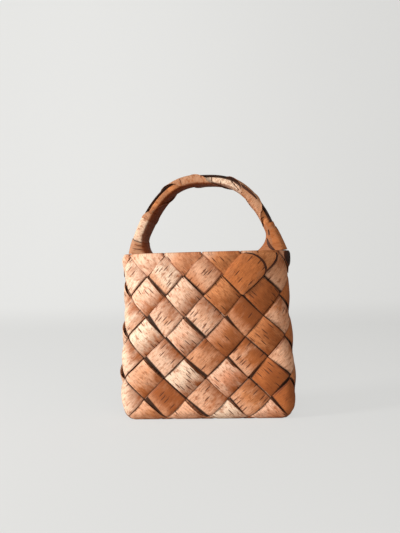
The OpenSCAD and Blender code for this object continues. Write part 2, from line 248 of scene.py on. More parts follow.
class StripPath:
    """Way of one strip over the opened net of the basket, from one rim to the other."""

    def __init__(self, shell, diagonal, lay):
        self.shell = shell
        c = self.c = diagonal * shell.diag
        hx, hy, rim = shell.half_x, shell.half_y, shell.rim_z
        self.from_front = c > hy - hx
        self.to_back = c < hx - hy
        self.first_row = SQRT2 * (c / 2 - hy - rim if self.from_front else -c / 2 - hx - rim)
        self.last_row = SQRT2 * (c / 2 + hy + rim if self.to_back else hx + rim - c / 2)
        self.base_in = SQRT2 * (c / 2 - hy if self.from_front else -c / 2 - hx)
        self.base_out = SQRT2 * (c / 2 + hy if self.to_back else hx - c / 2)
        self.cells = round((self.last_row - self.first_row) / shell.pitch)
        self.first_side = lay * (1 if self.from_front else -1)
        self.last_side = self.first_side * (1 if self.cells % 2 == 0 else -1)

    def lanes(self, mirrored):
        """Left end of each half in the grain, -1 or 1, and 1 for a half that rises to the right."""
        hand = -1.0 if mirrored else 1.0
        left_end = (hand if self.from_front else -hand, -hand if self.to_back else hand)
        rising = (float(self.from_front == mirrored), float(self.to_back == mirrored))
        return left_end, rising

    def shear(self, row):
        """Slant of a cross row: level with the rim on each wall, turning over on a corner strip's base."""
        start = 1.0 if self.from_front else -1.0
        stop = 1.0 if self.to_back else -1.0
        t = np.clip((row - self.base_in) / (self.base_out - self.base_in), 0.0, 1.0)
        return mix(start, stop, t)

    def side(self, along):
        """Plus one where the strip lies over at this crossing and minus one where it lies under."""
        cell = np.rint((along - self.first_row) / self.shell.pitch)
        return self.first_side * np.where(np.mod(cell, 2) == 0, 1.0, -1.0)

    def points(self, along, across, height, n):
        """Net place (along, across) to the basket: base inside the box, walls outside it, n outwards.

        height replaces the net's own height up a wall wherever it is not nan.
        """
        s = self.shell
        x = self.c / 2 + (along + across) / SQRT2
        y = (along - across) / SQRT2 - self.c / 2
        early = along < (self.base_in + self.base_out) / 2
        front = early & (y <= -s.half_y) if self.from_front else np.zeros_like(early)
        left = np.zeros_like(early) if self.from_front else early & (x <= -s.half_x)
        back = ~early & (y >= s.half_y) if self.to_back else np.zeros_like(early)
        right = np.zeros_like(early) if self.to_back else ~early & (x >= s.half_x)
        on = [front, left, back, right]
        u = np.select(on, [
            x + s.half_x,
            4 * s.half_x + 3 * s.half_y - y,
            3 * s.half_x + 2 * s.half_y - x,
            2 * s.half_x + s.half_y + y,
        ], 0.0)
        z = np.select(on, [-s.half_y - y, -s.half_x - x, y - s.half_y, x - s.half_x], 0.0)
        z = np.where(np.isnan(height), z, height)
        on_wall = front | left | back | right
        base = s.rounded(x, y, np.zeros_like(x), n)
        return np.where(on_wall[..., None], s.wall(u, z, n), base)


# Longest sine of a wander against its wavelength, and the size of the summed sines
WAVE_STRETCH = 1.7
WAVE_SIZE = 1.6


def wave(rng, value, length, terms=3):
    """Smooth wander between about -1 and 1: a few sines of about one wavelength with drawn phases."""
    total = np.zeros_like(value)
    for k in range(1, terms + 1):
        phase = rng.uniform(0, 2 * np.pi)
        total += np.sin(2 * np.pi * k * value / (length * WAVE_STRETCH) + phase) / k
    return total / WAVE_SIZE


# Rows of a strip in each crossing, round a fold, and at least on a returned end
CROSSING_ROWS = 22
FOLD_ROWS = 11
LEAST_END_ROWS = 8

# Columns of a strip as shares of its width: those beside an edge, and the flat between them
EDGE_COLUMNS = (0.0, 0.012, 0.04, 0.09)
FLAT_FROM_TO = (0.16, 0.84)
FLAT_COLUMNS = 11

# Wavelengths of a strip's wander and of its width, and how much its width changes
WANDER_LENGTH = 0.075
WIDTH_LENGTH = 0.13
WIDTH_CHANGE = 0.022

# Places across the basket between which the open gaps of the left turn into the tight ones of the right
OPEN_TO_TIGHT = (-0.03, 0.05)

# Where a strip begins its step to the next crossing, as a share of the half crossing
STEP_FROM = 0.86

# Share of the edge lift on strips that rise to the right
RISING_LIFT = 0.2

# Distances from the base's edge between which a strip begins to swell
BASE_EASE = (0.004, 0.016)

# Length at the end of a lower fold that dips under its neighbour, and where its painted shade begins and is
# full
TUCK = 0.0022
CUT_SHADE = (0.0024, 0.0012)

# How far the grain runs on past the rim on long and on short ends, in strip pitches
GRAIN_LIMITS = (2.0, 0.495)


class PlaitedStrip:
    """Sheet of one strip, on a grid of rows along it and columns across it.

    Its offset from the shell is half a layer out or in at each crossing, with a soft step between, a swell
    where it lies over, and one edge lifted by a drawn amount. At each rim the sheet turns over a half circle
    and lies back on the plait.
    """

    def __init__(self, shell, sizes, diagonal, lay, mirrored, seed):
        rng = np.random.default_rng(seed)
        self.shell = shell
        self.sizes = sizes
        self.path = StripPath(shell, diagonal, lay)
        self.hand = -1.0 if mirrored else 1.0
        self.half = (sizes.pitch - sizes.tight_gap) / 2
        self.left_end, self.rising = self.path.lanes(mirrored)
        self.set_rows()
        self.set_columns(rng)
        self.set_offsets(rng)

    def end_fold(self, side):
        """Inner and outer offset of the fold at an end, and how far the returned end reaches."""
        layer = self.sizes.layer
        if side > 0:
            return side * layer / 2, 1.5 * layer, self.sizes.pitch + self.half
        return side * layer / 2, 2.5 * layer, self.half + self.sizes.fold_lap

    def set_rows(self):
        """Rows along the strip: its body, close rows round each fold, and the returned ends."""
        path = self.path
        first_in, first_out, first_reach = self.end_fold(path.first_side)
        last_in, last_out, last_reach = self.end_fold(path.last_side)
        step = self.sizes.pitch / CROSSING_ROWS
        body = np.arange(path.first_row + step, path.last_row - step / 2, step)
        arc = np.linspace(0, np.pi, FOLD_ROWS)
        back_first = np.linspace(0, first_reach, max(int(first_reach / step), LEAST_END_ROWS))[1:]
        back_last = np.linspace(0, last_reach, max(int(last_reach / step), LEAST_END_ROWS))[1:]
        row = self.row = np.concatenate([
            path.first_row - back_first[::-1], np.full(arc.size, path.first_row), body,
            np.full(arc.size, path.last_row), path.last_row + back_last,
        ])[:, None]
        self.turn = np.concatenate([
            np.full(back_first.size, np.pi), arc[::-1], np.zeros(body.size),
            arc, np.full(back_last.size, np.pi),
        ])[:, None]
        self.at_first = row <= path.first_row
        self.inner = np.where(self.at_first, first_in, last_in)
        self.outer = np.where(self.at_first, first_out, last_out)
        self.reach = np.where(self.at_first, first_reach, last_reach)
        self.end_side = np.where(self.at_first, path.first_side, path.last_side)
        self.past = np.maximum(np.maximum(path.first_row - row, row - path.last_row), 0.0)
        self.back = np.clip(self.past / self.reach, 0, 1)
        self.to_rim = np.minimum(row - path.first_row, path.last_row - row)
        self.in_body = (self.past <= 0) & (self.turn == 0)

    def set_columns(self, rng):
        """Columns across the strip, closer at its edges, and the place of each point on the opened net.

        The strip wanders and changes its width by slow waves, and is snug beside its neighbours at the rim.
        """
        path, sizes, row, pitch = self.path, self.sizes, self.row, self.sizes.pitch
        edge = np.array(EDGE_COLUMNS)
        share = np.concatenate([edge, np.linspace(*FLAT_FROM_TO, FLAT_COLUMNS), 1 - edge[::-1]])
        self.column = (share * 2 - 1)[None, :]
        wander = wave(rng, row, WANDER_LENGTH) * sizes.wander
        rising = mix(*self.rising, smoothstep(path.base_in, path.base_out, row))
        sideways = (path.c / 2 + row / SQRT2) * self.hand
        gap = mix(sizes.gap, sizes.tight_gap * 1.4, smoothstep(*OPEN_TO_TIGHT, sideways))
        width = mix((pitch - gap) / (pitch - sizes.tight_gap), 1.0, rising)
        width = width + wave(rng, row, WIDTH_LENGTH) * WIDTH_CHANGE
        snug = 1 - smoothstep(0.1 * pitch, 0.8 * pitch, self.to_rim)
        width = mix(width, (pitch - sizes.rim_gap) / (pitch - sizes.tight_gap), snug)
        self.across = self.half * self.column * width + wander * (1 - 0.7 * snug)
        self.along = row + path.shear(row) * (1 - self.back) * (self.half * self.column)

    def set_offsets(self, rng):
        """Offset and height of each point: woven in the body, folded at the ends."""
        path, sizes, pitch = self.path, self.sizes, self.sizes.pitch
        cell = np.rint((self.along - path.first_row) / pitch)
        local = (self.along - path.first_row - cell * pitch) / (pitch / 2)
        bow = np.cos(np.pi / 2 * np.clip(np.abs(local), 0, 1))
        swell = sizes.pillow * bow ** 1.2 * (1 - 0.4 * self.column ** 2)
        woven = self.weave(rng, cell, local, bow, swell)
        folded, self.height = self.fold_back(swell)
        self.offset = np.where(self.in_body, woven, folded)

    def weave(self, rng, cell, local, bow, swell):
        """Offset in the body: the step at each crossing's edge, the swell over it and the lifted edge."""
        path, sizes, row = self.path, self.sizes, self.row
        side = path.side(self.along)
        level = side * sizes.layer / 2
        lifts = rng.uniform(0.0, 1.0, int(path.cells) + 5) ** 1.3
        leans = rng.uniform(-0.8, 0.8, int(path.cells) + 5)
        which = np.clip(cell.astype(int) + 2, 0, lifts.size - 1)
        loose = lifts[which] * (1 + leans[which] * local)
        early = row < (path.base_in + path.base_out) / 2
        right_hand = np.where(early, 1.0, -1.0) * self.hand
        lift = sizes.lift * np.where(np.where(early, *self.rising) > 0, RISING_LIFT, 1.0)
        lifted = np.clip(self.column * right_hand, 0, 1) ** 2 * bow ** 0.7
        free = smoothstep(*BASE_EASE, np.maximum(path.base_in - row, row - path.base_out))
        plateau = 1 - smoothstep(STEP_FROM, 1.0, np.abs(local))
        woven = level * plateau + np.maximum(side, 0) * free * (swell + lift * loose * lifted)
        return mix(level, woven, smoothstep(0.0, sizes.pitch * 0.6, self.to_rim))

    def fold_back(self, swell):
        """Offset and height of the ends: a half circle over the rim, then the returned end over the plait."""
        path, rim_z = self.path, self.shell.rim_z
        radius = (self.outer - self.inner) / 2
        tuck = (self.end_side > 0) * smoothstep(self.reach - TUCK, self.reach, self.past)
        lying = self.inner + radius * (1 - np.cos(self.turn)) - self.sizes.layer * tuck
        lying = lying + 0.8 * np.sin(np.pi * self.back) * swell
        slant = path.shear(self.row) * self.across
        beyond = np.where(
            self.at_first, path.first_row - self.along + slant, self.along - path.last_row - slant)
        returned = rim_z - np.maximum(beyond, 0) / SQRT2
        return lying, np.where(self.past > 0, returned, rim_z + radius * np.sin(self.turn))

    def faces(self):
        """Outer and inner face: half the thickness off the sheet along its normal, less at its edges."""
        thick = self.sizes.thickness
        half_t = thick / 2 - thick * 0.3 * smoothstep(0.93, 1.0, np.abs(self.column))

        def face(shift):
            z = np.where(self.in_body, np.nan, self.height - shift * np.sin(self.turn))
            points = self.path.points(self.along, self.across, z, self.offset + shift * np.cos(self.turn))
            return points * [self.hand, 1.0, 1.0]

        return face(half_t), face(-half_t)

    def grain(self):
        """Place along and across in strip pitches, held at the edge of the last crossing on short ends."""
        first, last, pitch = self.path.first_row, self.path.last_row, self.sizes.pitch
        limit = np.where(self.end_side > 0, *GRAIN_LIMITS) * pitch
        drawn = np.clip(self.along, first - limit, last + limit)
        return np.stack([(drawn - first) / pitch, self.across / pitch], axis=-1)

    def marks(self):
        """Turned ends, and on each face the painted shade under the folds of the rim and near the cut of each
        long end.
        """
        turned = np.broadcast_to(self.turn > np.pi / 2, self.along.shape)
        from_rim = np.minimum(self.along - self.path.first_row, self.path.last_row - self.along)
        from_rim = from_rim / self.sizes.pitch
        under_rim = (self.turn == 0) * smoothstep(0.50, 0.47, from_rim)
        lower_fold = 0.85 * smoothstep(-0.49, -0.45, from_rim)
        cut_end = smoothstep(self.reach - CUT_SHADE[0], self.reach - CUT_SHADE[1], self.past)
        long_end = turned & (self.end_side > 0)
        shade_under_folds = np.stack([under_rim, long_end * np.maximum(lower_fold, cut_end)])
        return {TURNED_NAME: turned, PAINTED_SHADE_NAME: shade_under_folds}

    def lanes(self):
        """Values that tell the skin how many crossings the strip has, and how each half of it runs."""
        return {
            "Cells": float(self.path.cells),
            "Left A": self.left_end[0], "Left B": self.left_end[1],
            "Rising A": self.rising[0], "Rising B": self.rising[1],
        }


# Edges that turn by more than this stay sharp
SHARP_ANGLE = math.radians(48)


def sheet_faces(rows, columns, closed=False):
    """Quads of a grid of points, going on round its columns when they close."""
    i = np.arange(rows - 1)[:, None]
    k = np.arange(columns if closed else columns - 1)[None, :]
    a = i * columns + k
    b = i * columns + (k + 1) % columns
    return np.stack([a, b, b + columns, a + columns], axis=-1).reshape(-1, 4)


def border(rows, columns):
    """Numbers of the points round the border of a grid, in order."""
    return np.concatenate([
        np.arange(columns - 1),
        np.arange(rows - 1) * columns + columns - 1,
        (rows - 1) * columns + np.arange(columns - 1, 0, -1),
        np.arange(rows - 1, 0, -1) * columns,
    ])


def edge_quads(loop, count):
    """Quads that join a loop of points on one face to the same loop on the other, count points on."""
    ahead = np.roll(loop, -1)
    return np.stack([loop, loop + count, ahead + count, ahead], axis=-1)


def make_mesh(name, points, quads, grain, slot_of_face, materials, flip=False, marks=()):
    """Mesh object at the origin from points, quads, the place of each point in the grain and named marks."""
    if flip:
        quads = quads[:, ::-1]
    mesh = bpy.data.meshes.new(name)
    mesh.from_pydata(points.tolist(), [], quads.tolist())
    layer = mesh.uv_layers.new(name=UV_NAME)
    corner = np.empty(len(mesh.loops), dtype=np.int32)
    mesh.loops.foreach_get("vertex_index", corner)
    layer.data.foreach_set("uv", grain[corner].astype(np.float32).ravel())
    for mark, values in dict(marks).items():
        attribute = mesh.attributes.new(mark, "FLOAT", "POINT")
        attribute.data.foreach_set("value", values.astype(np.float32).ravel())
    for material in materials:
        mesh.materials.append(material)
    mesh.polygons.foreach_set("material_index", slot_of_face.astype(np.int32))
    mesh.polygons.foreach_set("use_smooth", np.ones(len(quads), dtype=bool))
    mesh.set_sharp_from_angle(angle=SHARP_ANGLE)
    mesh.update()
    piece = bpy.data.objects.new(name, mesh)
    bpy.context.scene.collection.objects.link(piece)
    return piece


def bark_sheet(name, outside, inside, grain, materials, flip=False, marks=(), closed=False):
    """Closed sheet of bark from its two faces: both grids, joined round their border by the bark's edge.

    A closed sheet is a tube, whose faces are joined at both mouths. A mark has values for one face or both.
    """
    rows, columns = outside.shape[:2]
    count = rows * columns
    top = sheet_faces(rows, columns, closed)
    under = top[:, ::-1] + count
    if closed:
        mouth = np.arange(columns)
        far_mouth = mouth + count - columns
        side = np.concatenate([edge_quads(mouth, count), edge_quads(far_mouth, count)[:, ::-1]])
    else:
        side = edge_quads(border(rows, columns), count)
    points = np.concatenate([outside.reshape(-1, 3), inside.reshape(-1, 3)])
    slots = np.repeat([0, 1], [len(top) + len(under), len(side)])
    places = np.tile(grain.reshape(-1, 2), (2, 1))
    marks = {mark: np.tile(values.ravel(), 2 * count // values.size) for mark, values in dict(marks).items()}
    return make_mesh(name, points, np.concatenate([top, under, side]), places, slots, materials, flip, marks)


def solid_bar(name, rings, grain, materials, marks):
    """Closed bar through rings of points, with its ends drawn together to a point in their middles."""
    first, last = rings[:1].mean(axis=1, keepdims=True), rings[-1:].mean(axis=1, keepdims=True)
    columns = rings.shape[1]
    rings = np.concatenate([
        np.repeat(first, columns, axis=1), rings, np.repeat(last, columns, axis=1)])
    grain = np.concatenate([grain[:1], grain, grain[-1:]])
    marks = {mark: np.concatenate([part[:1], part, part[-1:]]) for mark, part in marks.items()}
    quads = sheet_faces(rings.shape[0], columns, closed=True)
    slots = np.zeros(len(quads))
    return make_mesh(name, rings.reshape(-1, 3), quads, grain.reshape(-1, 2), slots, materials, marks=marks)


class Wiring:
    """Short hand for adding nodes to a tree: inputs are values, or sockets that get linked."""

    # Layout of the nodes in the editor
    column_width = 40
    row_height = 120
    rows = 9

    def __init__(self, tree):
        self.tree = tree
        self.count = 0

    def join(self, value, socket):
        """Link a socket to another, or give it a value."""
        if isinstance(value, bpy.types.NodeSocket):
            self.tree.links.new(value, socket)
        else:
            socket.default_value = value

    def add(self, kind, inputs=(), **settings):
        """New node, set a little on from the last one."""
        node = self.tree.nodes.new(kind)
        self.count += 1
        node.location = (self.count * self.column_width, -(self.count % self.rows) * self.row_height)
        for key, value in settings.items():
            setattr(node, key, value)
        for key, value in dict(inputs).items():
            self.join(value, node.inputs[key])
        return node

    def math(self, operation, a, b=0.0, c=0.0, clamp=False):
        return self.add("ShaderNodeMath", {0: a, 1: b, 2: c}, operation=operation, use_clamp=clamp).outputs[0]

    def plus(self, a, b):
        return self.math("ADD", a, b)

    def less(self, a, b):
        return self.math("SUBTRACT", a, b)

    def times(self, a, b, clamp=False):
        return self.math("MULTIPLY", a, b, clamp=clamp)

    def scaled(self, a, factor, offset):
        return self.math("MULTIPLY_ADD", a, factor, offset)

    def most(self, a, b):
        return self.math("MAXIMUM", a, b)

    def ramp(self, value, low, high, to_low=0.0, to_high=1.0):
        node = self.add(
            "ShaderNodeMapRange",
            {"Value": value, "From Min": low, "From Max": high, "To Min": to_low, "To Max": to_high},
            interpolation_type="SMOOTHSTEP")
        return node.outputs["Result"]

    def colour(self, factor, a, b, blend="MIX"):
        node = self.add("ShaderNodeMix", {0: factor, 6: a, 7: b}, data_type="RGBA", blend_type=blend)
        return node.outputs[2]

    def vector(self, x, y, z=0.0):
        return self.add("ShaderNodeCombineXYZ", {"X": x, "Y": y, "Z": z}).outputs["Vector"]

    def split(self, vector):
        return self.add("ShaderNodeSeparateXYZ", {"Vector": vector}).outputs

    def noise(self, vector, scale, detail, rough=0.5):
        node = self.add(
            "ShaderNodeTexNoise", {"Vector": vector, "Scale": scale, "Detail": detail, "Roughness": rough})
        return node.outputs["Fac"]

    def mark(self, name):
        return self.add("ShaderNodeAttribute", attribute_name=name).outputs["Fac"]

    def place(self):
        return self.add("ShaderNodeTexCoord").outputs["Object"]


def opaque(colour):
    """Colour with full alpha, from its parts or from its name among the bark's colours."""
    if isinstance(colour, str):
        colour = getattr(bpy.context.scene.basket_bark, colour)
    return (*colour, 1.0)


# Places across the basket between which the plait turns on to its right narrow side
TURNING = (0.060, 0.078)

# Places across the basket between which the left narrow side gets a painted highlight, and how strong it is
LEFT_HIGHLIGHT = (-0.078, -0.086)
LEFT_HIGHLIGHT_STRENGTH = 0.65

# Steps of the grain from one seed to the next, and of the drawn numbers
SEED_STEP = 17.3
DRAW_STEP = 64.0

# Blend between the two halves of a strip, in its lengths
HALF_BLEND = (-0.08, 0.08)

# Blotches: where they turn from pale to tan, and how much the drawn tint of a crossing counts
BLOTCH = (0.34, 0.68)
CROSSING_TINT = 0.34

# Stains on turned ends: where they begin and are full, and their strength
FOLD_STAIN = (0.42, 0.66)
FOLD_STAIN_STRENGTH = 0.40

# Painted shade on the bow of a crossing: where it begins and is full, its unevenness, what turned ends lose
# of it
BOW_SHADE = (-0.10, 0.50)
BOW_UNEVEN = (2.5, -0.50)
BOW_TURNED = -0.45

# Painted highlight on the bow of a crossing: where it begins and is full, and its strength
BOW_HIGHLIGHT = (0.0, 0.42)
BOW_HIGHLIGHT_STRENGTH = 0.70

# Fibre: the range of its noise that counts, and the darkest and brightest that it makes the bark
FIBRE = (0.25, 0.75)
FIBRE_BRIGHTNESS = (0.70, 1.24)

# Mottle and ragged stains: where they begin and are full, and the mottle's strength
MOTTLE = (0.47, 0.68)
MOTTLE_STRENGTH = 0.80
RAGGED_STAIN = (0.53, 0.68)

# Strength of the dashes, and of the flecks beside them
DASH_STRENGTH = 0.93
FLECK_STRENGTH = 0.60

# Deep shade: where it begins in a crossing, how wide it is at the left and the right end, and its strength
DEEP_FROM = 0.455
DEEP_LEFT = 0.05
DEEP_RIGHT = 0.035
DEEP_STRENGTH = 0.96

# How much earlier it begins beside an open and a tight gap, and at the right end where the plait turns
DEEP_OPEN = (-0.08, -0.01)
DEEP_TURNING = -0.05

# Tilt of the wedge, and least shade of a right and of a left end with the part that is drawn
WEDGE_TILT = 0.36
RIGHT_LEAST = 0.4
LEFT_LEAST = 0.45
SHADE_DRAWN = 0.5

# The edge tint is partly the bark's darker edges and partly painted shade where strips meet
# Edge tint: where it begins and is full across a strip, its strength, and how much more turned ends have
EDGE_BAND = (0.43, 0.47)
EDGE_STRENGTH = 0.20
EDGE_MORE = 2.2

# Roughness of the bark from its fibre, and what a dash adds
FIBRE_ROUGH_RANGE = (0.2, 0.8)
FIBRE_ROUGH = (0.48, 0.68)
DASH_ROUGH = 0.15

# Relief: heights of the blotches, the fibre and the dashes, and its strength and depth
BLOTCH_HEIGHT = 0.6
FIBRE_HEIGHT = 0.5
DASH_DEPTH = 0.6
RELIEF_STRENGTH = 0.55
RELIEF_DEPTH = 0.0006

# Shade inside the loop of the handle, and gloss of the plait and of the handle
INNER_STRENGTH = 0.86
PLAIT_GLOSS = 0.25
HANDLE_GLOSS = 0.10

# Fine streaks of a cut edge
STREAK_SCALE = 420.0


def bark_skin_group():
    """Skin of birch bark along a strip's own grain: blotches, fibre, stains, dashes, painted shade and
    highlights.

    The grain is counted in crossings along the strip and in strip pitches across it.
    """
    tree = bpy.data.node_groups.new("Bark skin", "ShaderNodeTree")
    sockets = (
        ("INPUT", "Color", ("Pale A", "Tan A", "Pale B", "Tan B", "Fold A", "Fold B", "Stain and shade")),
        ("INPUT", "Float", (
            "Cells", "Seed", "Change", "Dashes", "Stains", "Painted light",
            "Left A", "Left B", "Rising A", "Rising B")),
        ("OUTPUT", "Color", ("Color",)),
        ("OUTPUT", "Float", ("Roughness", "Height")),
    )
    for in_out, kind, names in sockets:
        for name in names:
            tree.interface.new_socket(name=name, in_out=in_out, socket_type="NodeSocket" + kind)
    w = Wiring(tree)
    given = w.add("NodeGroupInput").outputs
    parts = w.split(w.add("ShaderNodeUVMap", uv_map=UV_NAME).outputs["UV"])
    along, across = parts["X"], parts["Y"]
    moved = w.scaled(given["Seed"], SEED_STEP, along)
    sideways = w.split(w.place())["X"]
    turned = w.mark(TURNED_NAME)

    def by_half(name, end):
        first, second = given[name + " A"], given[name + " B"]
        return w.scaled(w.less(second, first), end, first)

    def clouds(along_scale, across_scale, detail, rough, shift=0.0, level=0.0):
        stretched = w.vector(w.scaled(moved, along_scale, shift), w.times(across, across_scale), level)
        return w.noise(stretched, 1.0, detail, rough)

    def dashes(along_scale, across_scale, shift, core, soft, share):
        stretched = w.vector(w.scaled(moved, along_scale, shift), w.times(across, across_scale))
        cells = w.add("ShaderNodeTexVoronoi", {"Vector": stretched, "Scale": 1.0}, voronoi_dimensions="2D")
        kept = w.add("ShaderNodeSeparateColor", {"Color": cells.outputs["Color"]}).outputs["Red"]
        spot = w.ramp(cells.outputs["Distance"], core, soft, 1.0, 0.0)
        return w.times(spot, w.math("LESS_THAN", kept, w.times(given["Dashes"], share)))

    # Tint of each crossing, and the two ends of the strip
    cell = w.math("FLOOR", w.plus(along, 0.5))
    drawn = w.add(
        "ShaderNodeTexWhiteNoise", {"W": w.scaled(given["Seed"], DRAW_STEP, cell)},
        noise_dimensions="1D").outputs["Value"]
    way = w.less(w.math("DIVIDE", along, given["Cells"]), given["Change"])
    end = w.ramp(way, *HALF_BLEND)
    pale = w.colour(end, given["Pale A"], given["Pale B"])
    tan = w.colour(end, given["Tan A"], given["Tan B"])
    cloud = clouds(1.4, 2.4, detail=4.0, rough=0.6)
    tint = w.scaled(w.less(drawn, 0.5), CROSSING_TINT, cloud)
    base = w.colour(w.ramp(tint, *BLOTCH), pale, tan)

    # Other face of the bark, which shows on the ends that are turned back over the rim
    back = w.colour(end, given["Fold A"], given["Fold B"])
    back = w.colour(w.ramp(cloud, *FOLD_STAIN, 0.0, FOLD_STAIN_STRENGTH), back, given["Stain and shade"])
    base = w.colour(turned, base, back)

    # Bow of each crossing: a painted highlight towards its left end, painted shade in brown towards its right
    # end
    leftward = w.times(w.less(cell, along), by_half("Left", end))
    rightward = w.times(leftward, -1.0)
    bow = w.times(w.ramp(rightward, *BOW_SHADE), given["Painted light"])
    bow = w.times(bow, w.scaled(turned, BOW_TURNED, 1.0))
    uneven = w.scaled(cloud, *BOW_UNEVEN)
    base = w.colour(w.times(bow, uneven, clamp=True), base, given["Stain and shade"])
    glow = w.times(w.ramp(leftward, *BOW_HIGHLIGHT, 0.0, BOW_HIGHLIGHT_STRENGTH), given["Painted light"])
    base = w.colour(glow, base, pale)

    # Painted highlight on the left narrow side, and paler bark where it is marked, partly painted highlight
    # too
    lightened = w.times(w.ramp(sideways, *LEFT_HIGHLIGHT, 0.0, LEFT_HIGHLIGHT_STRENGTH), given["Painted light"])
    base = w.colour(w.most(lightened, w.mark(BLEACH_AND_HIGHLIGHT_NAME)), base, opaque("cream"))

    # Long fibre of the bark, and its small mottle
    fibre = clouds(2.6, 64.0, detail=3.0, rough=0.6)
    brightness = w.ramp(fibre, *FIBRE, *FIBRE_BRIGHTNESS)
    toned = w.add("ShaderNodeHueSaturation", {"Value": brightness, "Color": base}).outputs["Color"]
    mottle = clouds(5.0, 9.0, detail=5.0, rough=0.7, level=3.0)
    toned = w.colour(w.ramp(mottle, *MOTTLE, 0.0, MOTTLE_STRENGTH), toned, given["Stain and shade"])

    # Brown stains with ragged edges
    ragged = clouds(0.8, 1.5, detail=6.0, rough=0.7, shift=5.0, level=given["Seed"])
    stain = w.times(w.ramp(ragged, *RAGGED_STAIN), given["Stains"])
    stained = w.colour(stain, toned, given["Stain and shade"])

    # Dashes of the bark: long dark ones, kept by the strip's own share, and small faint flecks
    large = dashes(1.25, 9.6, shift=4.0, core=0.11, soft=0.21, share=0.52)
    small = dashes(3.4, 22.0, shift=0.0, core=0.06, soft=0.24, share=0.60)
    dash = w.most(large, w.times(small, FLECK_STRENGTH))
    dashed = w.colour(w.times(dash, DASH_STRENGTH), stained, opaque("umber"))

    # Deep shade where the strip dives: a wedge at its left end, a thin line at its right end
    rising = by_half("Rising", end)
    tilt = w.times(w.times(w.less(drawn, 0.5), WEDGE_TILT), rising)
    wedge = w.scaled(across, tilt, leftward)
    open_gap = w.ramp(sideways, *OPEN_TO_TIGHT, *DEEP_OPEN)
    tight = w.scaled(rising, open_gap, DEEP_FROM)
    left_shade = w.ramp(wedge, tight, w.plus(tight, DEEP_LEFT))
    left_shade = w.times(left_shade, w.most(rising, w.scaled(drawn, SHADE_DRAWN, LEFT_LEAST)))
    # Painted shade is stronger where the plait turns on to its right narrow side, away from the light
    turning = w.times(w.ramp(sideways, *TURNING), rising)
    right_tight = w.scaled(turning, DEEP_TURNING, DEEP_FROM)
    right_shade = w.ramp(rightward, right_tight, w.plus(right_tight, DEEP_RIGHT))
    right_shade = w.times(right_shade, w.most(turning, w.scaled(drawn, SHADE_DRAWN, RIGHT_LEAST)))
    deep = w.times(w.most(left_shade, right_shade), given["Painted light"])
    deep = w.times(deep, w.less(1.0, turned))
    # Painted shade that the marks carry: under the folds of the rim, near the cut of long ends, over a foot's
    # step
    deep = w.most(deep, w.mark(PAINTED_SHADE_NAME))

    # Tint along both edges of the strip, stronger on turned ends and where the plait turns the corner
    # It is partly the bark's darker edges and partly painted shade, most where the plait turns away from the
    # light
    rim = w.times(w.ramp(w.math("ABSOLUTE", across), *EDGE_BAND, 0.0, EDGE_STRENGTH), given["Painted light"])
    rim = w.times(rim, w.scaled(w.most(turned, turning), EDGE_MORE, 1.0))
    shaded = w.colour(rim, dashed, opaque("edge_tint"), "MULTIPLY")
    shaded = w.colour(w.times(deep, DEEP_STRENGTH), shaded, opaque("pitch_brown"))

    rough = w.scaled(dash, DASH_ROUGH, w.ramp(fibre, *FIBRE_ROUGH_RANGE, *FIBRE_ROUGH))
    raised = w.scaled(cloud, BLOTCH_HEIGHT, w.times(fibre, FIBRE_HEIGHT))
    height = w.less(raised, w.times(dash, DASH_DEPTH))
    w.add("NodeGroupOutput", {"Color": shaded, "Roughness": w.most(rough, deep), "Height": height})
    return tree


def new_material(name):
    """Material with its wiring and its shader."""
    material = bpy.data.materials.new(name)
    material.use_nodes = True
    return material, Wiring(material.node_tree), material.node_tree.nodes["Principled BSDF"]


def bark_material(name, look, shaded=False):
    """Bark with its own colours at both ends, from the shared skin, darker inside the loop if shaded."""
    group = bpy.data.node_groups.get("Bark skin") or bark_skin_group()
    material, w, shader = new_material(name)
    values = {key: opaque(value) if isinstance(value, str) else value for key, value in look.items()}
    skin = w.add("ShaderNodeGroup", values, node_tree=group).outputs
    bump = w.add("ShaderNodeBump", {
        "Strength": RELIEF_STRENGTH, "Distance": RELIEF_DEPTH, "Height": skin["Height"]})
    colour = skin["Color"]
    if shaded:
        colour = w.colour(w.times(w.mark(INNER_NAME), INNER_STRENGTH), colour, opaque("dusk"))
    w.join(colour, shader.inputs["Base Color"])
    w.join(skin["Roughness"], shader.inputs["Roughness"])
    w.join(bump.outputs["Normal"], shader.inputs["Normal"])
    shader.inputs["Specular IOR Level"].default_value = HANDLE_GLOSS if shaded else PLAIT_GLOSS
    return material


def edge_material():
    """Dark cut edge of the bark, with its thin layers showing as fine streaks."""
    made = bpy.data.materials.get("Bark edge")
    if made:
        return made
    material, w, shader = new_material("Bark edge")
    streak = w.noise(w.place(), STREAK_SCALE, 3.0)
    colour = w.colour(w.ramp(streak, 0.35, 0.7), opaque("umber"), opaque("brown"))
    w.join(colour, shader.inputs["Base Color"])
    w.join(w.ramp(streak, 0.3, 0.7, 0.6, 0.85), shader.inputs["Roughness"])
    return material


def look(first, second, folds, seed, dashes, stains, change=0.5, cells=18.0, tuck=1.0, stain="brown"):
    """Values of a strip's skin: two colours of its first half, two of its second, one of each turned end."""
    # A crossing's highlights, bow, deep shade and edge tint are painted light and shade, in the share that
    # tuck gives
    return {
        "Pale A": first[0], "Tan A": first[1], "Pale B": second[0], "Tan B": second[1],
        "Fold A": folds[0], "Fold B": folds[1], "Stain and shade": stain,
        "Cells": cells, "Seed": seed, "Change": change, "Dashes": dashes, "Stains": stains, "Painted light": tuck,
    }


def plain_look(pale, tan, seed, dashes, stains, cells=6.0, stain="brown"):
    """Values of the skin of a smaller piece, which has the same two colours all along."""
    both = pale, tan
    # A smaller piece has no painted light or shade of its crossings, only what its marks carry
    return look(both, both, (pale, pale), seed, dashes, stains, cells=cells, tuck=0.0, stain=stain)


def dark_look(seed, dashes=0.4, stains=0.4, cells=6.0):
    """Values of the skin of near-black bark, which also colours the dark sheets painted as shade."""
    return plain_look("umber", "pitch_brown", seed, dashes, stains, cells, stain="pitch_brown")


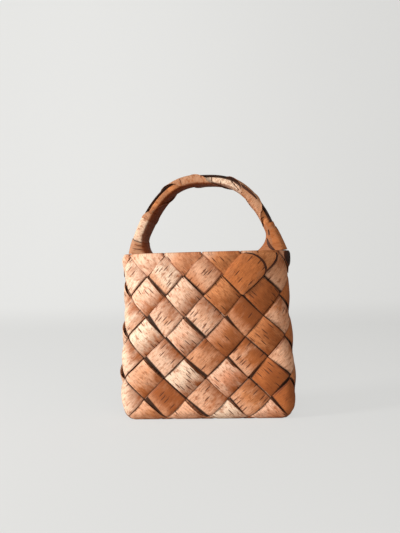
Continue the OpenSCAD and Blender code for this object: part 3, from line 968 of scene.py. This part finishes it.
# Each strip: node, place on the base in diagonals, its skin
FALLING = (
    ("falling_strip_1", -2, look(("blush", "peach"), ("peach", "tan"), ("tan", "fox"), 165, 0.55, 0.30)),
    ("falling_strip_2", -1, look(("peach", "tan"), ("orange", "brown"), ("peach", "tan"), 264, 0.45, 0.40)),
    ("falling_strip_3", 0, look(("peach", "tan"), ("orange", "brown"), ("peach", "peach"), 94, 0.75, 0.35)),
    ("falling_strip_4", 1, look(("cream", "peach"), ("tan", "brown"), ("peach", "cream"), 385, 1.00, 0.20)),
    ("falling_strip_5", 2, look(("blush", "salmon"), ("salmon", "tan"), ("peach", "peach"), 195, 0.70, 0.35)),
)
RISING = (
    ("rising_strip_1", -2, look(
        ("blush", "tan"), ("orange", "brown"), ("cream", "peach"), 221, 0.95, 0.35, change=0.21)),
    ("rising_strip_2", -1, look(("orange", "brown"), ("peach", "tan"), ("tan", "blush"), 201, 0.55, 0.50)),
    ("rising_strip_3", 0, look(("peach", "tan"), ("cream", "peach"), ("tan", "fox"), 235, 0.60, 0.50)),
    ("rising_strip_4", 1, look(("peach", "orange"), ("blush", "tan"), ("tan", "tan"), 73, 0.75, 0.45)),
    ("rising_strip_5", 2, look(("fox", "brown"), ("peach", "tan"), ("peach", "peach"), 340, 0.60, 0.55)),
)


def stand_for(piece, node):
    """Piece takes the place of its CAD node on the basket's one body."""
    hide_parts(node)
    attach(piece, ROOT)


def stand_beside(piece):
    """Small piece that has no CAD node rides on the basket's one body."""
    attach(piece, ROOT)


def bark_piece(name, faces, grain, skin, slot=None, shaded=False, **form):
    """Sheet of bark with its skin and its cut edge, for the CAD node of its name unless given a slot."""
    materials = [bark_material(name + "_bark", skin, shaded), edge_material()]
    piece = bark_sheet(name + "_bark", *faces, grain, materials, **form)
    if slot:
        stand_beside(piece)
    else:
        stand_for(piece, name)


def build_strips(strips, lay, mirrored):
    """Strips of one direction of the plait, each for its own node."""
    sizes = bpy.context.scene.basket_plait
    shell = Shell(sizes)
    for order, (node, diagonal, skin) in enumerate(strips):
        seed = 100 * (2 if mirrored else 1) + order
        strip = PlaitedStrip(shell, sizes, diagonal, lay, mirrored, seed)
        values = {**skin, **strip.lanes()}
        bark_piece(node, strip.faces(), strip.grain(), values, flip=not mirrored, marks=strip.marks())


# Loose ends at the rim: outline in diagonals along the girth and up from the rim, two heights and a dome
LOOSE_ENDS = {
    "loose_fold": (
        ((2.51, -0.50), (2.62, -0.62), (2.75, -0.75), (2.88, -0.88), (3.00, -0.99), (3.15, -0.88),
         (3.29, -0.77), (3.41, -0.66), (3.50, -0.57), (3.56, -0.48), (3.57, -0.38), (3.53, -0.25),
         (3.44, -0.14), (3.32, -0.06), (3.18, -0.02), (3.02, -0.02), (2.88, -0.13), (2.75, -0.25),
         (2.62, -0.38)),
        0.0024, 0.0066, 0.0014),
    "loose_tongue": (
        ((3.88, -0.01), (3.65, -0.005), (3.45, -0.015), (3.30, -0.06), (3.40, -0.20), (3.50, -0.36),
         (3.61, -0.45), (3.76, -0.33), (3.87, -0.21), (3.915, -0.10)),
        0.0034, 0.0046, 0.0002),
    # Dark sheet painted as the shade in the gap at the right corner of the rim
    "curl_shadow": (
        ((4.16, -0.10), (4.26, -0.26), (4.40, -0.35), (4.54, -0.26), (4.60, -0.10), (4.52, 0.02),
         (4.36, 0.045), (4.20, 0.02)),
        0.0040, 0.0040, 0.0016),
}

# Dark sheet painted as the loose fold's shadow: how far it shows past the fold in diagonals, and how far
# under it
SHADOW_SHIFT = (0.065, 0.018)
SHADOW_DROP = 0.0012

# Line of painted shade beside the loose fold: four control places of its curve, its width and its height off
# the wall
FOLD_LINE = ((3.88, 0.0), (3.96, -0.13), (3.84, -0.28), (3.61, -0.46))
FOLD_LINE_WIDTH = 0.0022
FOLD_LINE_HEIGHT = 0.0053

# Points round a loose end, its rings, and the size of the inmost ring as a share of the outline
OUTLINE_POINTS = 96
OUTLINE_RINGS = 20
INMOST_RING = 0.002

# Columns across a thin band
BAND_COLUMNS = 7


def closed_curve(corners, count):
    """Smooth closed curve through corners: cubic pieces whose slope at a corner joins its two neighbours."""
    corners = np.array(corners)
    t = np.linspace(0, len(corners), count, endpoint=False)
    i, f = t.astype(int), (t % 1)[:, None]
    a, b, c, d = (corners[(i + k) % len(corners)] for k in (-1, 0, 1, 2))
    return b + f * (c - a + f * (2 * a - 5 * b + 4 * c - d + f * (3 * (b - c) + d - a))) / 2


def tapered_band(line, width, margin, grain_width):
    """Places across a thin band along a line, and their grain.

    Its half width goes as the root of a half sine, which is cut by a margin at both ends.
    """
    t = np.linspace(0, 1, len(line))[:, None]
    across = np.linspace(-1, 1, BAND_COLUMNS)
    way = unit_rows(np.gradient(line, axis=0))
    beside = np.stack([-way[:, 1], way[:, 0]], axis=-1)
    half = width / 2 * np.sqrt(np.sin(np.pi * mix(margin, 1 - margin, t)))
    place = line[:, None, :] + (half * across)[..., None] * beside[:, None, :]
    return place, np.stack(np.broadcast_arrays(t, across[None, :] * grain_width), axis=-1)


def on_wall(shell, place, n, thickness):
    """Two faces of a sheet n off the wall, at places in diagonals along the girth and up from the rim."""
    u, z = place[..., 0] * shell.diag, shell.rim_z + place[..., 1] * shell.diag
    return shell.wall(u, z, n + thickness / 2), shell.wall(u, z, n - thickness / 2)


def build_loose_end(name, end, skin, slot, shift=(0.0, 0.0), drop=0.0):
    """Loose bark at the rim: rings from the middle of an outline to the outline, laid on the wall.

    It stands off the wall by a height that runs from the outline's left to its right, with a dome over
    that of one less the fourth power of the way out. Shift moves it, and drop brings it nearer the wall.
    """
    sizes = bpy.context.scene.basket_plait
    corners, low, high, dome = LOOSE_ENDS[end]
    edge = closed_curve(corners, OUTLINE_POINTS) + np.array(shift)
    out = np.linspace(INMOST_RING, 1, OUTLINE_RINGS)[:, None, None]
    place = mix(edge.mean(axis=0), edge, out)
    along, up = place[..., 0], place[..., 1]
    span = (along - edge[:, 0].min()) / np.ptp(edge[:, 0])
    n = mix(low, high, span) - drop + dome * (1 - out[..., 0] ** 4)
    faces = on_wall(Shell(sizes), place, n, sizes.thickness)
    grain = np.stack([along + up, along - up], axis=-1)
    bark_piece(name, faces, grain, skin, slot, flip=True, closed=True)


def build_fold_line(name, skin, slot):
    """Painted shade on a fold's edge: a thin band on a cubic curve of four control places, widest in its
    middle.
    """
    sizes = bpy.context.scene.basket_plait
    shell = Shell(sizes)
    a, b, c, d = np.array(FOLD_LINE)
    t = np.linspace(0, 1, 48)[:, None]
    line = (1 - t) ** 3 * a + 3 * t * (1 - t) ** 2 * b + 3 * t * t * (1 - t) * c + t ** 3 * d
    place, grain = tapered_band(line, FOLD_LINE_WIDTH / shell.diag, margin=0.04, grain_width=0.1)
    n = np.full(place.shape[:2], FOLD_LINE_HEIGHT)
    bark_piece(name, on_wall(shell, place, n, sizes.thickness / 2), grain, skin, slot, flip=True)


# Foot sleeves, left and right: height along the hoop, and reach of the spread into the loop and outwards
FOOT_HEIGHT = {-1: 0.037, 1: 0.029}
FOOT_FLARE = {-1: 0.0135, 1: 0.020}
FOOT_SPILL = {-1: 0.0, 1: 0.0030}

# Upper edge of the lowest turn of bark on each foot, along the hoop, below the mouth where there is none
FOOT_TURN = {-1: 0.0150, 1: -0.0100}

# Slant of that edge and its turn round the hoop, how far it stands proud, and the bleach of the bark over it
FOOT_TURN_SLANT = 0.0022
FOOT_TURN_PHASE = 0.6
FOOT_TURN_STEP = 0.0005
FOOT_BLEACH = {-1: 0.70, 1: 0.0}

# Distances below that edge between which the step rises, the painted shade over it begins and ends, and the
# bleach begins
STEP_RISES = (-0.0004, 0.0002)
SEAM_BEGINS = (-0.0012, -0.0006)
SEAM_ENDS = (0.0004, 0.0)
BLEACH_BEGINS = (0.0005, -0.0005)
SEAM_SHADE = 0.85

# Girth of the band in strip pitches, for the grain that runs round it
GIRTH_PITCHES = 1.9

# Air between a tail and the wall, and the ends of the bleached part of the core, from the top of the arch
TAIL_GAP = 0.0004
# The paler part of the core is partly pale bark and partly a painted highlight
CORE_BLEACH_FROM = (-0.012, -0.004)
CORE_BLEACH_TO = (0.046, 0.038)

# How far the outer ply stops short of the rim, and its half width round the hoop in degrees
PLY_SHORT = 0.001
PLY_HALF_ANGLE = 60

# How far the edges of the wrap curl up, and its run under each sleeve as a share of its width
WRAP_CURL = 0.0005
WRAP_UNDER_LEFT = 0.45
WRAP_UNDER_RIGHT = 0.40

# How deep the wrap sinks under a sleeve, in its thicknesses, and the length over which it does
WRAP_SINK = 1.5
WRAP_SINK_LENGTH = 0.002


class Hoop:
    """Middle line of the handle in the plane y = 0: a power curve over the rim, measured along its length."""

    # Steps in which the line is measured
    steps = 600

    # What the sway loses towards the right foot, and from where on
    sway_lost = 0.7
    sway_from = 0.75

    # Power of the way out by which the lean ends at the feet
    lean_ends = 12

    # Where the inner side begins and is full, as a cosine, and its share on the right leg
    inner_from = (0.25, 0.60)
    inner_right = 0.15

    def __init__(self, shell, plait, sizes):
        self.shell = shell
        self.sizes = sizes
        self.half_span = shell.oval_x - sizes.inset
        self.foot_z = shell.rim_z + shell.lift + 1.5 * plait.layer + plait.thickness / 2
        v = np.linspace(0, 1, self.steps)
        x, z = self.line(v)
        self.length_at = np.concatenate([[0], np.cumsum(np.hypot(np.diff(x), np.diff(z)))])
        self.v_at = v
        self.half = self.length_at[-1]

    def line(self, v):
        """Across as v times the half span and the sway, up as the rise times one less the power of v."""
        rise, power = self.sizes.rise, self.sizes.power
        sway = self.sizes.sway * (1 - self.sway_lost * smoothstep(self.sway_from, 1.0, v))
        return self.half_span * v + sway, self.foot_z + rise * (1 - np.abs(v) ** power)

    def squared(self, value):
        """Value's size to a power below one, with its sign, which squares a circle's sine and cosine."""
        return np.sign(value) * np.abs(value) ** self.sizes.roundness

    def beside(self, s, angle, out, back, side, level=0.0):
        """Point at length s from the top, turned by angle from the outside of the hoop to its front.

        On the left leg the band leans, so that its back lies further in than its front.
        """
        v = np.sign(s) * np.interp(np.abs(s), self.length_at, self.v_at)
        x, z = self.line(v)
        slope_x = self.half_span + 0 * v
        slope_z = -np.sign(v) * self.sizes.rise * self.sizes.power * np.abs(v) ** (self.sizes.power - 1)
        size = np.hypot(slope_x, slope_z)
        out_x, out_z = -slope_z / size, slope_x / size * (1 - level)
        size = np.hypot(out_x, out_z)
        lean = self.sizes.lean * ((1 - v) / 2) ** 2 * (1 - np.abs(v) ** self.lean_ends)
        cosine, ahead = self.squared(np.cos(angle)), side * self.squared(np.sin(angle))
        reach = (np.where(cosine > 0, out, back) * cosine + lean * ahead) / size
        return np.stack(np.broadcast_arrays(x + reach * out_x, -ahead, z + reach * out_z), axis=-1)

    def around(self, s, angle, gap, flare=0.0, level=0.0, spill=0.0):
        """Point of a layer round the core and its dark ply, gap past the inside of the wrap.

        Flare adds to its reach into the loop, and spill to its reach outwards.
        """
        z = self.sizes
        ply = z.clear + z.ply
        return self.beside(
            s, angle,
            z.core_thickness / 2 + ply + z.clear + gap + spill,
            z.core_thickness / 2 + z.clear + gap + flare,
            z.core_width / 2 + ply + z.clear + gap + flare / 6, level)

    def core(self, s, angle, gap=0.0):
        """Point of a layer round the core alone, gap past it."""
        thick, wide = self.sizes.core_thickness / 2 + gap, self.sizes.core_width / 2 + gap
        return self.beside(s, angle, thick, thick, wide)

    def foot_spread(self, side, up):
        """Flare, level and spill of a foot's sleeve at a length up from its mouth."""
        near_end = np.maximum(0.0, 1 - up / self.sizes.spread)
        flare, spill = FOOT_FLARE[side] * near_end ** 2, FOOT_SPILL[side] * np.sqrt(near_end)
        return flare, self.sizes.foot_level * near_end, spill

    def inner_side(self, s, angle):
        """One on the side of the band that faces into the loop, less towards the right leg, which is lit."""
        share = mix(1.0, self.inner_right, smoothstep(0.0, 0.5, s / self.half))
        return smoothstep(*self.inner_from, -np.cos(angle)) * share


def make_hoop():
    """Hoop of the handle on the plaited body."""
    scene = bpy.context.scene
    return Hoop(Shell(scene.basket_plait), scene.basket_plait, scene.basket_handle)


def build_core():
    """Hoop core with a tail inside each narrow wall, as one bar through oval rings."""
    hoop = make_hoop()
    shell, z = hoop.shell, hoop.sizes
    plait = bpy.context.scene.basket_plait
    angle = np.linspace(0, 2 * np.pi, 40, endpoint=False)[None, :]
    arch = hoop.core(np.linspace(-hoop.half, hoop.half, 120)[:, None], angle)
    inset = -(plait.layer + plait.thickness + z.tail_thickness) / 2 - TAIL_GAP - z.clear
    rows = shell.rim_z - np.linspace(z.tail_length, z.tail_length / 6, 12)[:, None]

    def tail(side):
        middle = 2 * shell.half_x + shell.half_y if side > 0 else 4 * shell.half_x + 3 * shell.half_y
        n = inset + z.tail_thickness / 2 * np.cos(angle) + 0 * rows
        corner = middle - side * np.sign(np.sin(angle)) * shell.half_y + 0 * n
        up = rows + 0 * n
        share = (np.abs(np.sin(angle)) * z.tail_width / 2 / shell.half_y)[..., None]
        return mix(shell.wall(middle + 0 * n, up, n), shell.wall(corner, up, n), share)

    rings = np.concatenate([tail(-1), arch, tail(1)[::-1]])
    path = np.concatenate([[0], np.cumsum(np.linalg.norm(np.diff(rings.mean(axis=1), axis=0), axis=-1))])
    s = (path - path[-1] / 2)[:, None]
    grain = np.stack(np.broadcast_arrays(
        angle / (2 * np.pi) * GIRTH_PITCHES, path[:, None] / plait.pitch), axis=-1)
    inner = hoop.inner_side(s, angle)
    lightened = smoothstep(*CORE_BLEACH_FROM, s) * smoothstep(*CORE_BLEACH_TO, s) + 0 * inner
    skin = plain_look("tan", "hide", 12, 0.5, 0.4, GIRTH_PITCHES)
    materials = [bark_material("handle_core_bark", skin, shaded=True)]
    marks = {INNER_NAME: inner, BLEACH_AND_HIGHLIGHT_NAME: lightened}
    stand_for(solid_bar("handle_core_bark", rings, grain, materials, marks), "handle_core")


def build_outer_ply():
    """Near-black bark along the outside of the hoop, dark at its edges too, partly as painted shade under the
    wrap.
    """
    hoop = make_hoop()
    z = hoop.sizes
    reach = hoop.half - PLY_SHORT
    s = np.linspace(-reach, reach, 160)[:, None]
    angle = np.radians(np.linspace(-PLY_HALF_ANGLE, PLY_HALF_ANGLE, 25))[None, :]
    grain = np.stack(np.broadcast_arrays((s + reach) / hoop.shell.pitch, angle * 0.3), axis=-1)
    materials = [bark_material("handle_outer_ply_bark", dark_look(13, 0.6, 0.8, 18.0))] * 2
    piece = bark_sheet(
        "handle_outer_ply_bark", hoop.core(s, angle, z.clear + z.ply), hoop.core(s, angle, z.clear), grain,
        materials)
    stand_for(piece, "handle_outer_ply")


def build_wrap(skin):
    """Spiral wrap: at each angle round the hoop the band lies along it, moved on by its pitch each turn."""
    hoop = make_hoop()
    z = hoop.sizes
    low, high = FOOT_HEIGHT[-1] - hoop.half, hoop.half - FOOT_HEIGHT[1]
    under_left, under_right = z.wrap_width * WRAP_UNDER_LEFT, z.wrap_width * WRAP_UNDER_RIGHT
    middle = np.linspace(low - under_left, high + under_right, 340)
    band = np.concatenate([[0, 0.02, 0.06], np.linspace(0.12, 0.88, 9), [0.94, 0.98, 1]]) - 0.5
    angle = 2 * np.pi * (middle - z.wrap_at) / z.wrap_pitch
    s = middle[:, None] + z.wrap_width * band[None, :]
    turn = angle[:, None] + 0 * s
    curl = WRAP_CURL * smoothstep(0.40, 0.5, np.abs(band))[None, :]
    sunk = z.bark * WRAP_SINK * smoothstep(0.0, WRAP_SINK_LENGTH, np.maximum(low - s, s - high))
    faces = hoop.around(s, turn, z.bark + curl - sunk), hoop.around(s, turn, z.clear + curl - sunk)
    grain = np.stack([(turn - angle[0]) / (2 * np.pi) * GIRTH_PITCHES, s / hoop.shell.pitch], axis=-1)
    marks = {INNER_NAME: hoop.inner_side(s, turn)}
    bark_piece("handle_wrap", faces, grain, skin, shaded=True, flip=True, marks=marks)


# Split edges of the bark on the right of the arch and on the right foot. At both ends: the place along the
# hoop and across its front, from -1 at the inside of the loop to 1 at its outside. Then the width
SPLIT_EDGE = {
    "foot_slit": ((0.0905, -0.30), (0.0965, -0.46), 0.0014),
    "foot_fold": ((0.0985, -0.78), (0.1145, -0.12), 0.0012),
    "wrap_edge": ((0.0265, 0.34), (0.0580, 0.60), 0.0022),
    "wrap_split": ((0.0270, 0.27), (0.0390, -0.45), 0.0011),
    "wrap_sliver": ((0.0285, 0.26), (0.0385, -0.30), 0.0018),
}

# How far a split edge stands proud of the wrap, and its thickness
SPLIT_PROUD = 0.0004
SPLIT_THICKNESS = 0.0003


def build_split_edge(name, skin, slot):
    """Thin band on the front of the hoop between two places, widest in its middle, just proud of the wrap."""
    hoop = make_hoop()
    z = hoop.sizes
    first, last, width = SPLIT_EDGE[name]
    scale = np.array([1.0, z.core_thickness / 2 + z.ply])
    line = mix(np.array(first) * scale, np.array(last) * scale, np.linspace(0, 1, 40)[:, None])
    place, grain = tapered_band(line, width, margin=0.03, grain_width=0.05)
    s, level = place[..., 0], np.clip(place[..., 1] / scale[1], -0.99, 0.99)
    angle = np.arccos(np.sign(level) * np.abs(level) ** (1 / z.roundness))
    gap = z.bark + SPLIT_PROUD
    spread = hoop.foot_spread(1, hoop.half - s)
    faces = hoop.around(s, angle, gap, *spread), hoop.around(s, angle, gap - SPLIT_THICKNESS, *spread)
    bark_piece(name, faces, grain, skin, slot, flip=True)


def build_foot(side, node, skin):
    """Sleeve round a foot of the hoop: rings that spread inwards as the square of the way down the spread.

    Its lowest turn stands a step proud up to a slanted edge, with a line of painted shade over that edge.
    """
    hoop = make_hoop()
    up = FOOT_HEIGHT[side] * np.linspace(1, 0, 75)[:, None]
    angle = np.linspace(0, 2 * np.pi, 64, endpoint=False)[None, :]
    s = side * (hoop.half - up)
    below = FOOT_TURN[side] + FOOT_TURN_SLANT * side * np.sin(angle - FOOT_TURN_PHASE) - up
    turned_over = FOOT_TURN_STEP * smoothstep(*STEP_RISES, below)
    painted_seam = smoothstep(*SEAM_BEGINS, below) * smoothstep(*SEAM_ENDS, below)
    spread = hoop.foot_spread(side, up)
    faces = (
        hoop.around(s, angle, hoop.sizes.bark + turned_over, *spread),
        hoop.around(s, angle, 0.0, *spread),
    )
    grain = np.stack(np.broadcast_arrays(
        angle / (2 * np.pi) * GIRTH_PITCHES, s / hoop.shell.pitch), axis=-1)
    marks = {
        INNER_NAME: hoop.inner_side(s, angle),
        PAINTED_SHADE_NAME: SEAM_SHADE * painted_seam,
        BLEACH_AND_HIGHLIGHT_NAME: FOOT_BLEACH[side] * smoothstep(*BLEACH_BEGINS, below),
    }
    bark_piece(node, faces, grain, skin, shaded=True, flip=side < 0, marks=marks, closed=True)


class BASKET_OT_falling_strips(bpy.types.Operator):
    """Build the strips that fall from left to right on the front"""

    bl_idname = "basket.falling_strips"
    bl_label = "Falling strips"

    def execute(self, context):
        build_strips(FALLING, 1, False)
        return {"FINISHED"}


class BASKET_OT_rising_strips(bpy.types.Operator):
    """Build the strips that rise from left to right on the front"""

    bl_idname = "basket.rising_strips"
    bl_label = "Rising strips"

    def execute(self, context):
        build_strips(RISING, -1, True)
        return {"FINISHED"}


class BASKET_OT_loose_ends(bpy.types.Operator):
    """Build the loose ends of bark at the right of the rim, and the dark sheets painted as shade beside them
    """

    bl_idname = "basket.loose_ends"
    bl_label = "Loose ends"

    def execute(self, context):
        fold = plain_look("orange", "hide", 21, 0.5, 0.4)
        tongue = plain_look("tan", "tan", 24, 0.3, 0.3)
        dark = dark_look(23)
        build_loose_end("loose_fold", "loose_fold", fold, "bark_tan")
        # The lining, the curl and the fold line are dark sheets painted as shade beside the loose fold and at
        # the rim
        build_loose_end("loose_fold_shadow", "loose_fold", dark, "bark_dark", SHADOW_SHIFT, SHADOW_DROP)
        build_loose_end("loose_tongue", "loose_tongue", tongue, "bark_tan")
        build_loose_end("curl_shadow", "curl_shadow", dark, "bark_dark")
        build_fold_line("fold_shade_line", dark, "bark_dark")
        return {"FINISHED"}


class BASKET_OT_handle_core(bpy.types.Operator):
    """Build the hoop core with its tails"""

    bl_idname = "basket.handle_core"
    bl_label = "Handle core"

    def execute(self, context):
        build_core()
        return {"FINISHED"}


class BASKET_OT_handle_bark(bpy.types.Operator):
    """Build the dark ply and the spiral wrap of the handle, with the split edges of its bark"""

    bl_idname = "basket.handle_bark"
    bl_label = "Handle bark"

    def execute(self, context):
        build_outer_ply()
        build_wrap(plain_look("fawn", "hide", 14, 0.6, 0.35))
        build_split_edge("wrap_sliver", plain_look("cream", "blush", 32, 0.0, 0.0), "bark_pale")
        # Dark bands painted as shade: under the wrap's edge, in its split, and in the right foot's slit and
        # fold
        for name in ("wrap_edge", "wrap_split", "foot_slit", "foot_fold"):
            build_split_edge(name, dark_look(31), "bark_dark")
        return {"FINISHED"}


class BASKET_OT_foot_sleeves(bpy.types.Operator):
    """Build the sleeves round the feet of the handle"""

    bl_idname = "basket.foot_sleeves"
    bl_label = "Foot sleeves"

    def execute(self, context):
        build_foot(-1, "left_foot_sleeve", plain_look("fawn", "hide", 15, 0.6, 0.4, GIRTH_PITCHES))
        build_foot(1, "right_foot_sleeve", plain_look("hide", "orange", 16, 0.5, 0.4, GIRTH_PITCHES))
        return {"FINISHED"}


# Ground: half width, front edge, where it begins to bend up, the bend's radius and the backdrop's height
GROUND_HALF_WIDTH = 4.0
GROUND_FRONT = -3.0
GROUND_DEPTH = 1.2
GROUND_BEND = 0.6
BACKDROP_HEIGHT = 3.0

# Ground: its roughness, and how dark its mottle is
GROUND_ROUGHNESS = 0.9
GROUND_MOTTLE = 0.97

# Glow that the camera sees on the ground: its colour and its share
GROUND_GLOW = (0.99, 0.99, 0.97)
GROUND_GLOW_SHARE = 0.72

# Painted shade that dims the glow: half the width over which it does, what is left at the right, the height
# over which it does and what is left at the foot
GROUND_DIM_WIDTH = 0.7
GROUND_DIM_RIGHT = 0.86
GROUND_DIM_HEIGHT = 0.06
GROUND_DIM_FOOT = 0.92

# Light of the room: its colour, its strength, and how much more of it the camera sees
ROOM_COLOUR = (1.0, 0.98, 0.96)
ROOM_STRENGTH = 0.27
ROOM_SEEN = 0.55

# Soft lamps: place, size, power and colour, and the place that they face
LAMPS = {
    "Window": ((-1.25, -0.75, 0.40), 0.40, 24.5, (1.0, 0.98, 0.97)),
    "Room": ((0.2, -1.6, 1.2), 1.2, 12.5, (1.0, 0.98, 0.96)),
}
LAMP_TARGET = (0.0, 0.0, 0.12)

# Camera's sensor height in millimetres, and the nearest distance that it sees
SENSOR_HEIGHT = 36.0
NEAREST_SEEN = 0.01


def ground_material(colour):
    """Plain pale ground with a faint mottle, and a glow that only the camera sees, dimmed by painted shade.
    """
    material, w, shader = new_material("Pale ground")
    place = w.place()
    darker = tuple(GROUND_MOTTLE * part for part in colour)
    w.join(w.colour(w.noise(place, 3.0, 2.0), opaque(darker), opaque(colour)), shader.inputs["Base Color"])
    shader.inputs["Roughness"].default_value = GROUND_ROUGHNESS
    parts = w.split(place)
    glow_shade = w.times(
        w.ramp(parts["X"], -GROUND_DIM_WIDTH, GROUND_DIM_WIDTH, 1.0, GROUND_DIM_RIGHT),
        w.ramp(parts["Z"], 0.0, GROUND_DIM_HEIGHT, GROUND_DIM_FOOT, 1.0))
    glow = w.add("ShaderNodeEmission", {"Color": opaque(GROUND_GLOW), "Strength": glow_shade})
    seen = w.add("ShaderNodeLightPath").outputs["Is Camera Ray"]
    blend = w.add("ShaderNodeMixShader", {
        0: w.times(seen, GROUND_GLOW_SHARE), 1: shader.outputs["BSDF"], 2: glow.outputs["Emission"]})
    w.join(blend.outputs["Shader"], w.tree.nodes["Material Output"].inputs["Surface"])
    return material


def build_ground(colour):
    """Floor that curves up into a backdrop: level to the bend, a quarter circle, then upright."""
    turn = np.linspace(0, np.pi / 2, 24)
    run = np.concatenate([
        [GROUND_FRONT], GROUND_DEPTH + GROUND_BEND * np.sin(turn), [GROUND_DEPTH + GROUND_BEND]])
    rise = np.concatenate([[0.0], GROUND_BEND * (1 - np.cos(turn)), [BACKDROP_HEIGHT]])
    side = np.array([-GROUND_HALF_WIDTH, GROUND_HALF_WIDTH])
    grid = np.broadcast_arrays(side[None, :], run[:, None], rise[:, None])
    points = np.stack(grid, axis=-1).reshape(-1, 3)
    quads = sheet_faces(len(run), len(side))
    ground = make_mesh(
        "ground", points, quads, points[:, :2], np.zeros(len(quads)), [ground_material(colour)])


def build_room():
    """Even light of the room, of which the camera sees more than the basket gets."""
    world = bpy.data.worlds.new("Pale room")
    world.use_nodes = True
    w = Wiring(world.node_tree)
    inputs = world.node_tree.nodes["Background"].inputs
    inputs["Color"].default_value = opaque(ROOM_COLOUR)
    seen = w.add("ShaderNodeLightPath").outputs["Is Camera Ray"]
    w.join(w.scaled(seen, ROOM_SEEN, ROOM_STRENGTH), inputs["Strength"])
    bpy.context.scene.world = world


def build_lamp(name, place, size, power, colour):
    """Soft square lamp at a place, facing the basket's middle."""
    data = bpy.data.lights.new(name, "AREA")
    data.size = size
    data.energy = power
    data.color = colour
    lamp = bpy.data.objects.new(name, data)
    bpy.context.scene.collection.objects.link(lamp)
    way = np.array(LAMP_TARGET) - np.array(place)
    lamp.location = place
    lamp.rotation_euler = (
        math.atan2(math.hypot(way[0], way[1]), -way[2]), 0.0, math.atan2(way[1], way[0]) - math.pi / 2)


def build_camera(stage):
    """Camera in front of the basket, as far off and as high as the photograph's, turned and rolled."""
    scene = bpy.context.scene
    lens = bpy.data.cameras.new("Camera")
    camera = bpy.data.objects.new("Camera", lens)
    scene.collection.objects.link(camera)
    reach = stage.distance + Shell(scene.basket_plait).oval_y
    camera.location = (
        reach * math.sin(stage.azimuth), -reach * math.cos(stage.azimuth), stage.eye_height)
    camera.rotation_euler = (math.pi / 2, stage.roll, stage.azimuth)
    lens.sensor_fit = "VERTICAL"
    lens.sensor_height = SENSOR_HEIGHT
    lens.lens = SENSOR_HEIGHT * stage.distance / (PHOTO_HEIGHT * stage.pixel)
    lens.shift_x = (PHOTO_WIDTH / 2 - PHOTO_MIDDLE_X) / PHOTO_HEIGHT
    lens.clip_start = NEAREST_SEEN
    scene.camera = camera


class BASKET_OT_stage(bpy.types.Operator):
    """Build the pale ground, the soft light and the camera"""

    bl_idname = "basket.stage"
    bl_label = "Stage"

    def execute(self, context):
        stage = context.scene.basket_stage
        context.scene.view_settings.view_transform = "Standard"
        build_ground(stage.ground_colour)
        build_room()
        for name, lamp in LAMPS.items():
            build_lamp(name, *lamp)
        build_camera(stage)
        return {"FINISHED"}


class BASKET_PT_panel(bpy.types.Panel):
    """Basket's pieces in the sidebar"""

    bl_label = "Wall basket"
    bl_idname = "BASKET_PT_panel"
    bl_space_type = "VIEW_3D"
    bl_region_type = "UI"
    bl_category = "Basket"

    def draw(self, context):
        for operator in OPERATORS:
            self.layout.operator(operator.bl_idname)


SETTINGS = {
    "basket_bark": BarkSettings,
    "basket_plait": PlaitSettings,
    "basket_handle": HandleSettings,
    "basket_stage": StageSettings,
}
OPERATORS = (
    BASKET_OT_falling_strips,
    BASKET_OT_rising_strips,
    BASKET_OT_loose_ends,
    BASKET_OT_handle_core,
    BASKET_OT_handle_bark,
    BASKET_OT_foot_sleeves,
    BASKET_OT_stage,
)
CLASSES = (*SETTINGS.values(), *OPERATORS, BASKET_PT_panel)


def register():
    """Add the classes and the scene's settings."""
    for cls in CLASSES:
        bpy.utils.register_class(cls)
    for name, settings in SETTINGS.items():
        setattr(bpy.types.Scene, name, bpy.props.PointerProperty(type=settings))


def unregister():
    """Take the scene's settings and the classes away."""
    for name in SETTINGS:
        delattr(bpy.types.Scene, name)
    for cls in reversed(CLASSES):
        bpy.utils.unregister_class(cls)


def main():
    """Build every piece and the stage."""
    register()
    bpy.ops.basket.falling_strips()
    bpy.ops.basket.rising_strips()
    bpy.ops.basket.loose_ends()
    bpy.ops.basket.handle_core()
    bpy.ops.basket.handle_bark()
    bpy.ops.basket.foot_sleeves()
    bpy.ops.basket.stage()


if __name__ == "__main__":
    main()
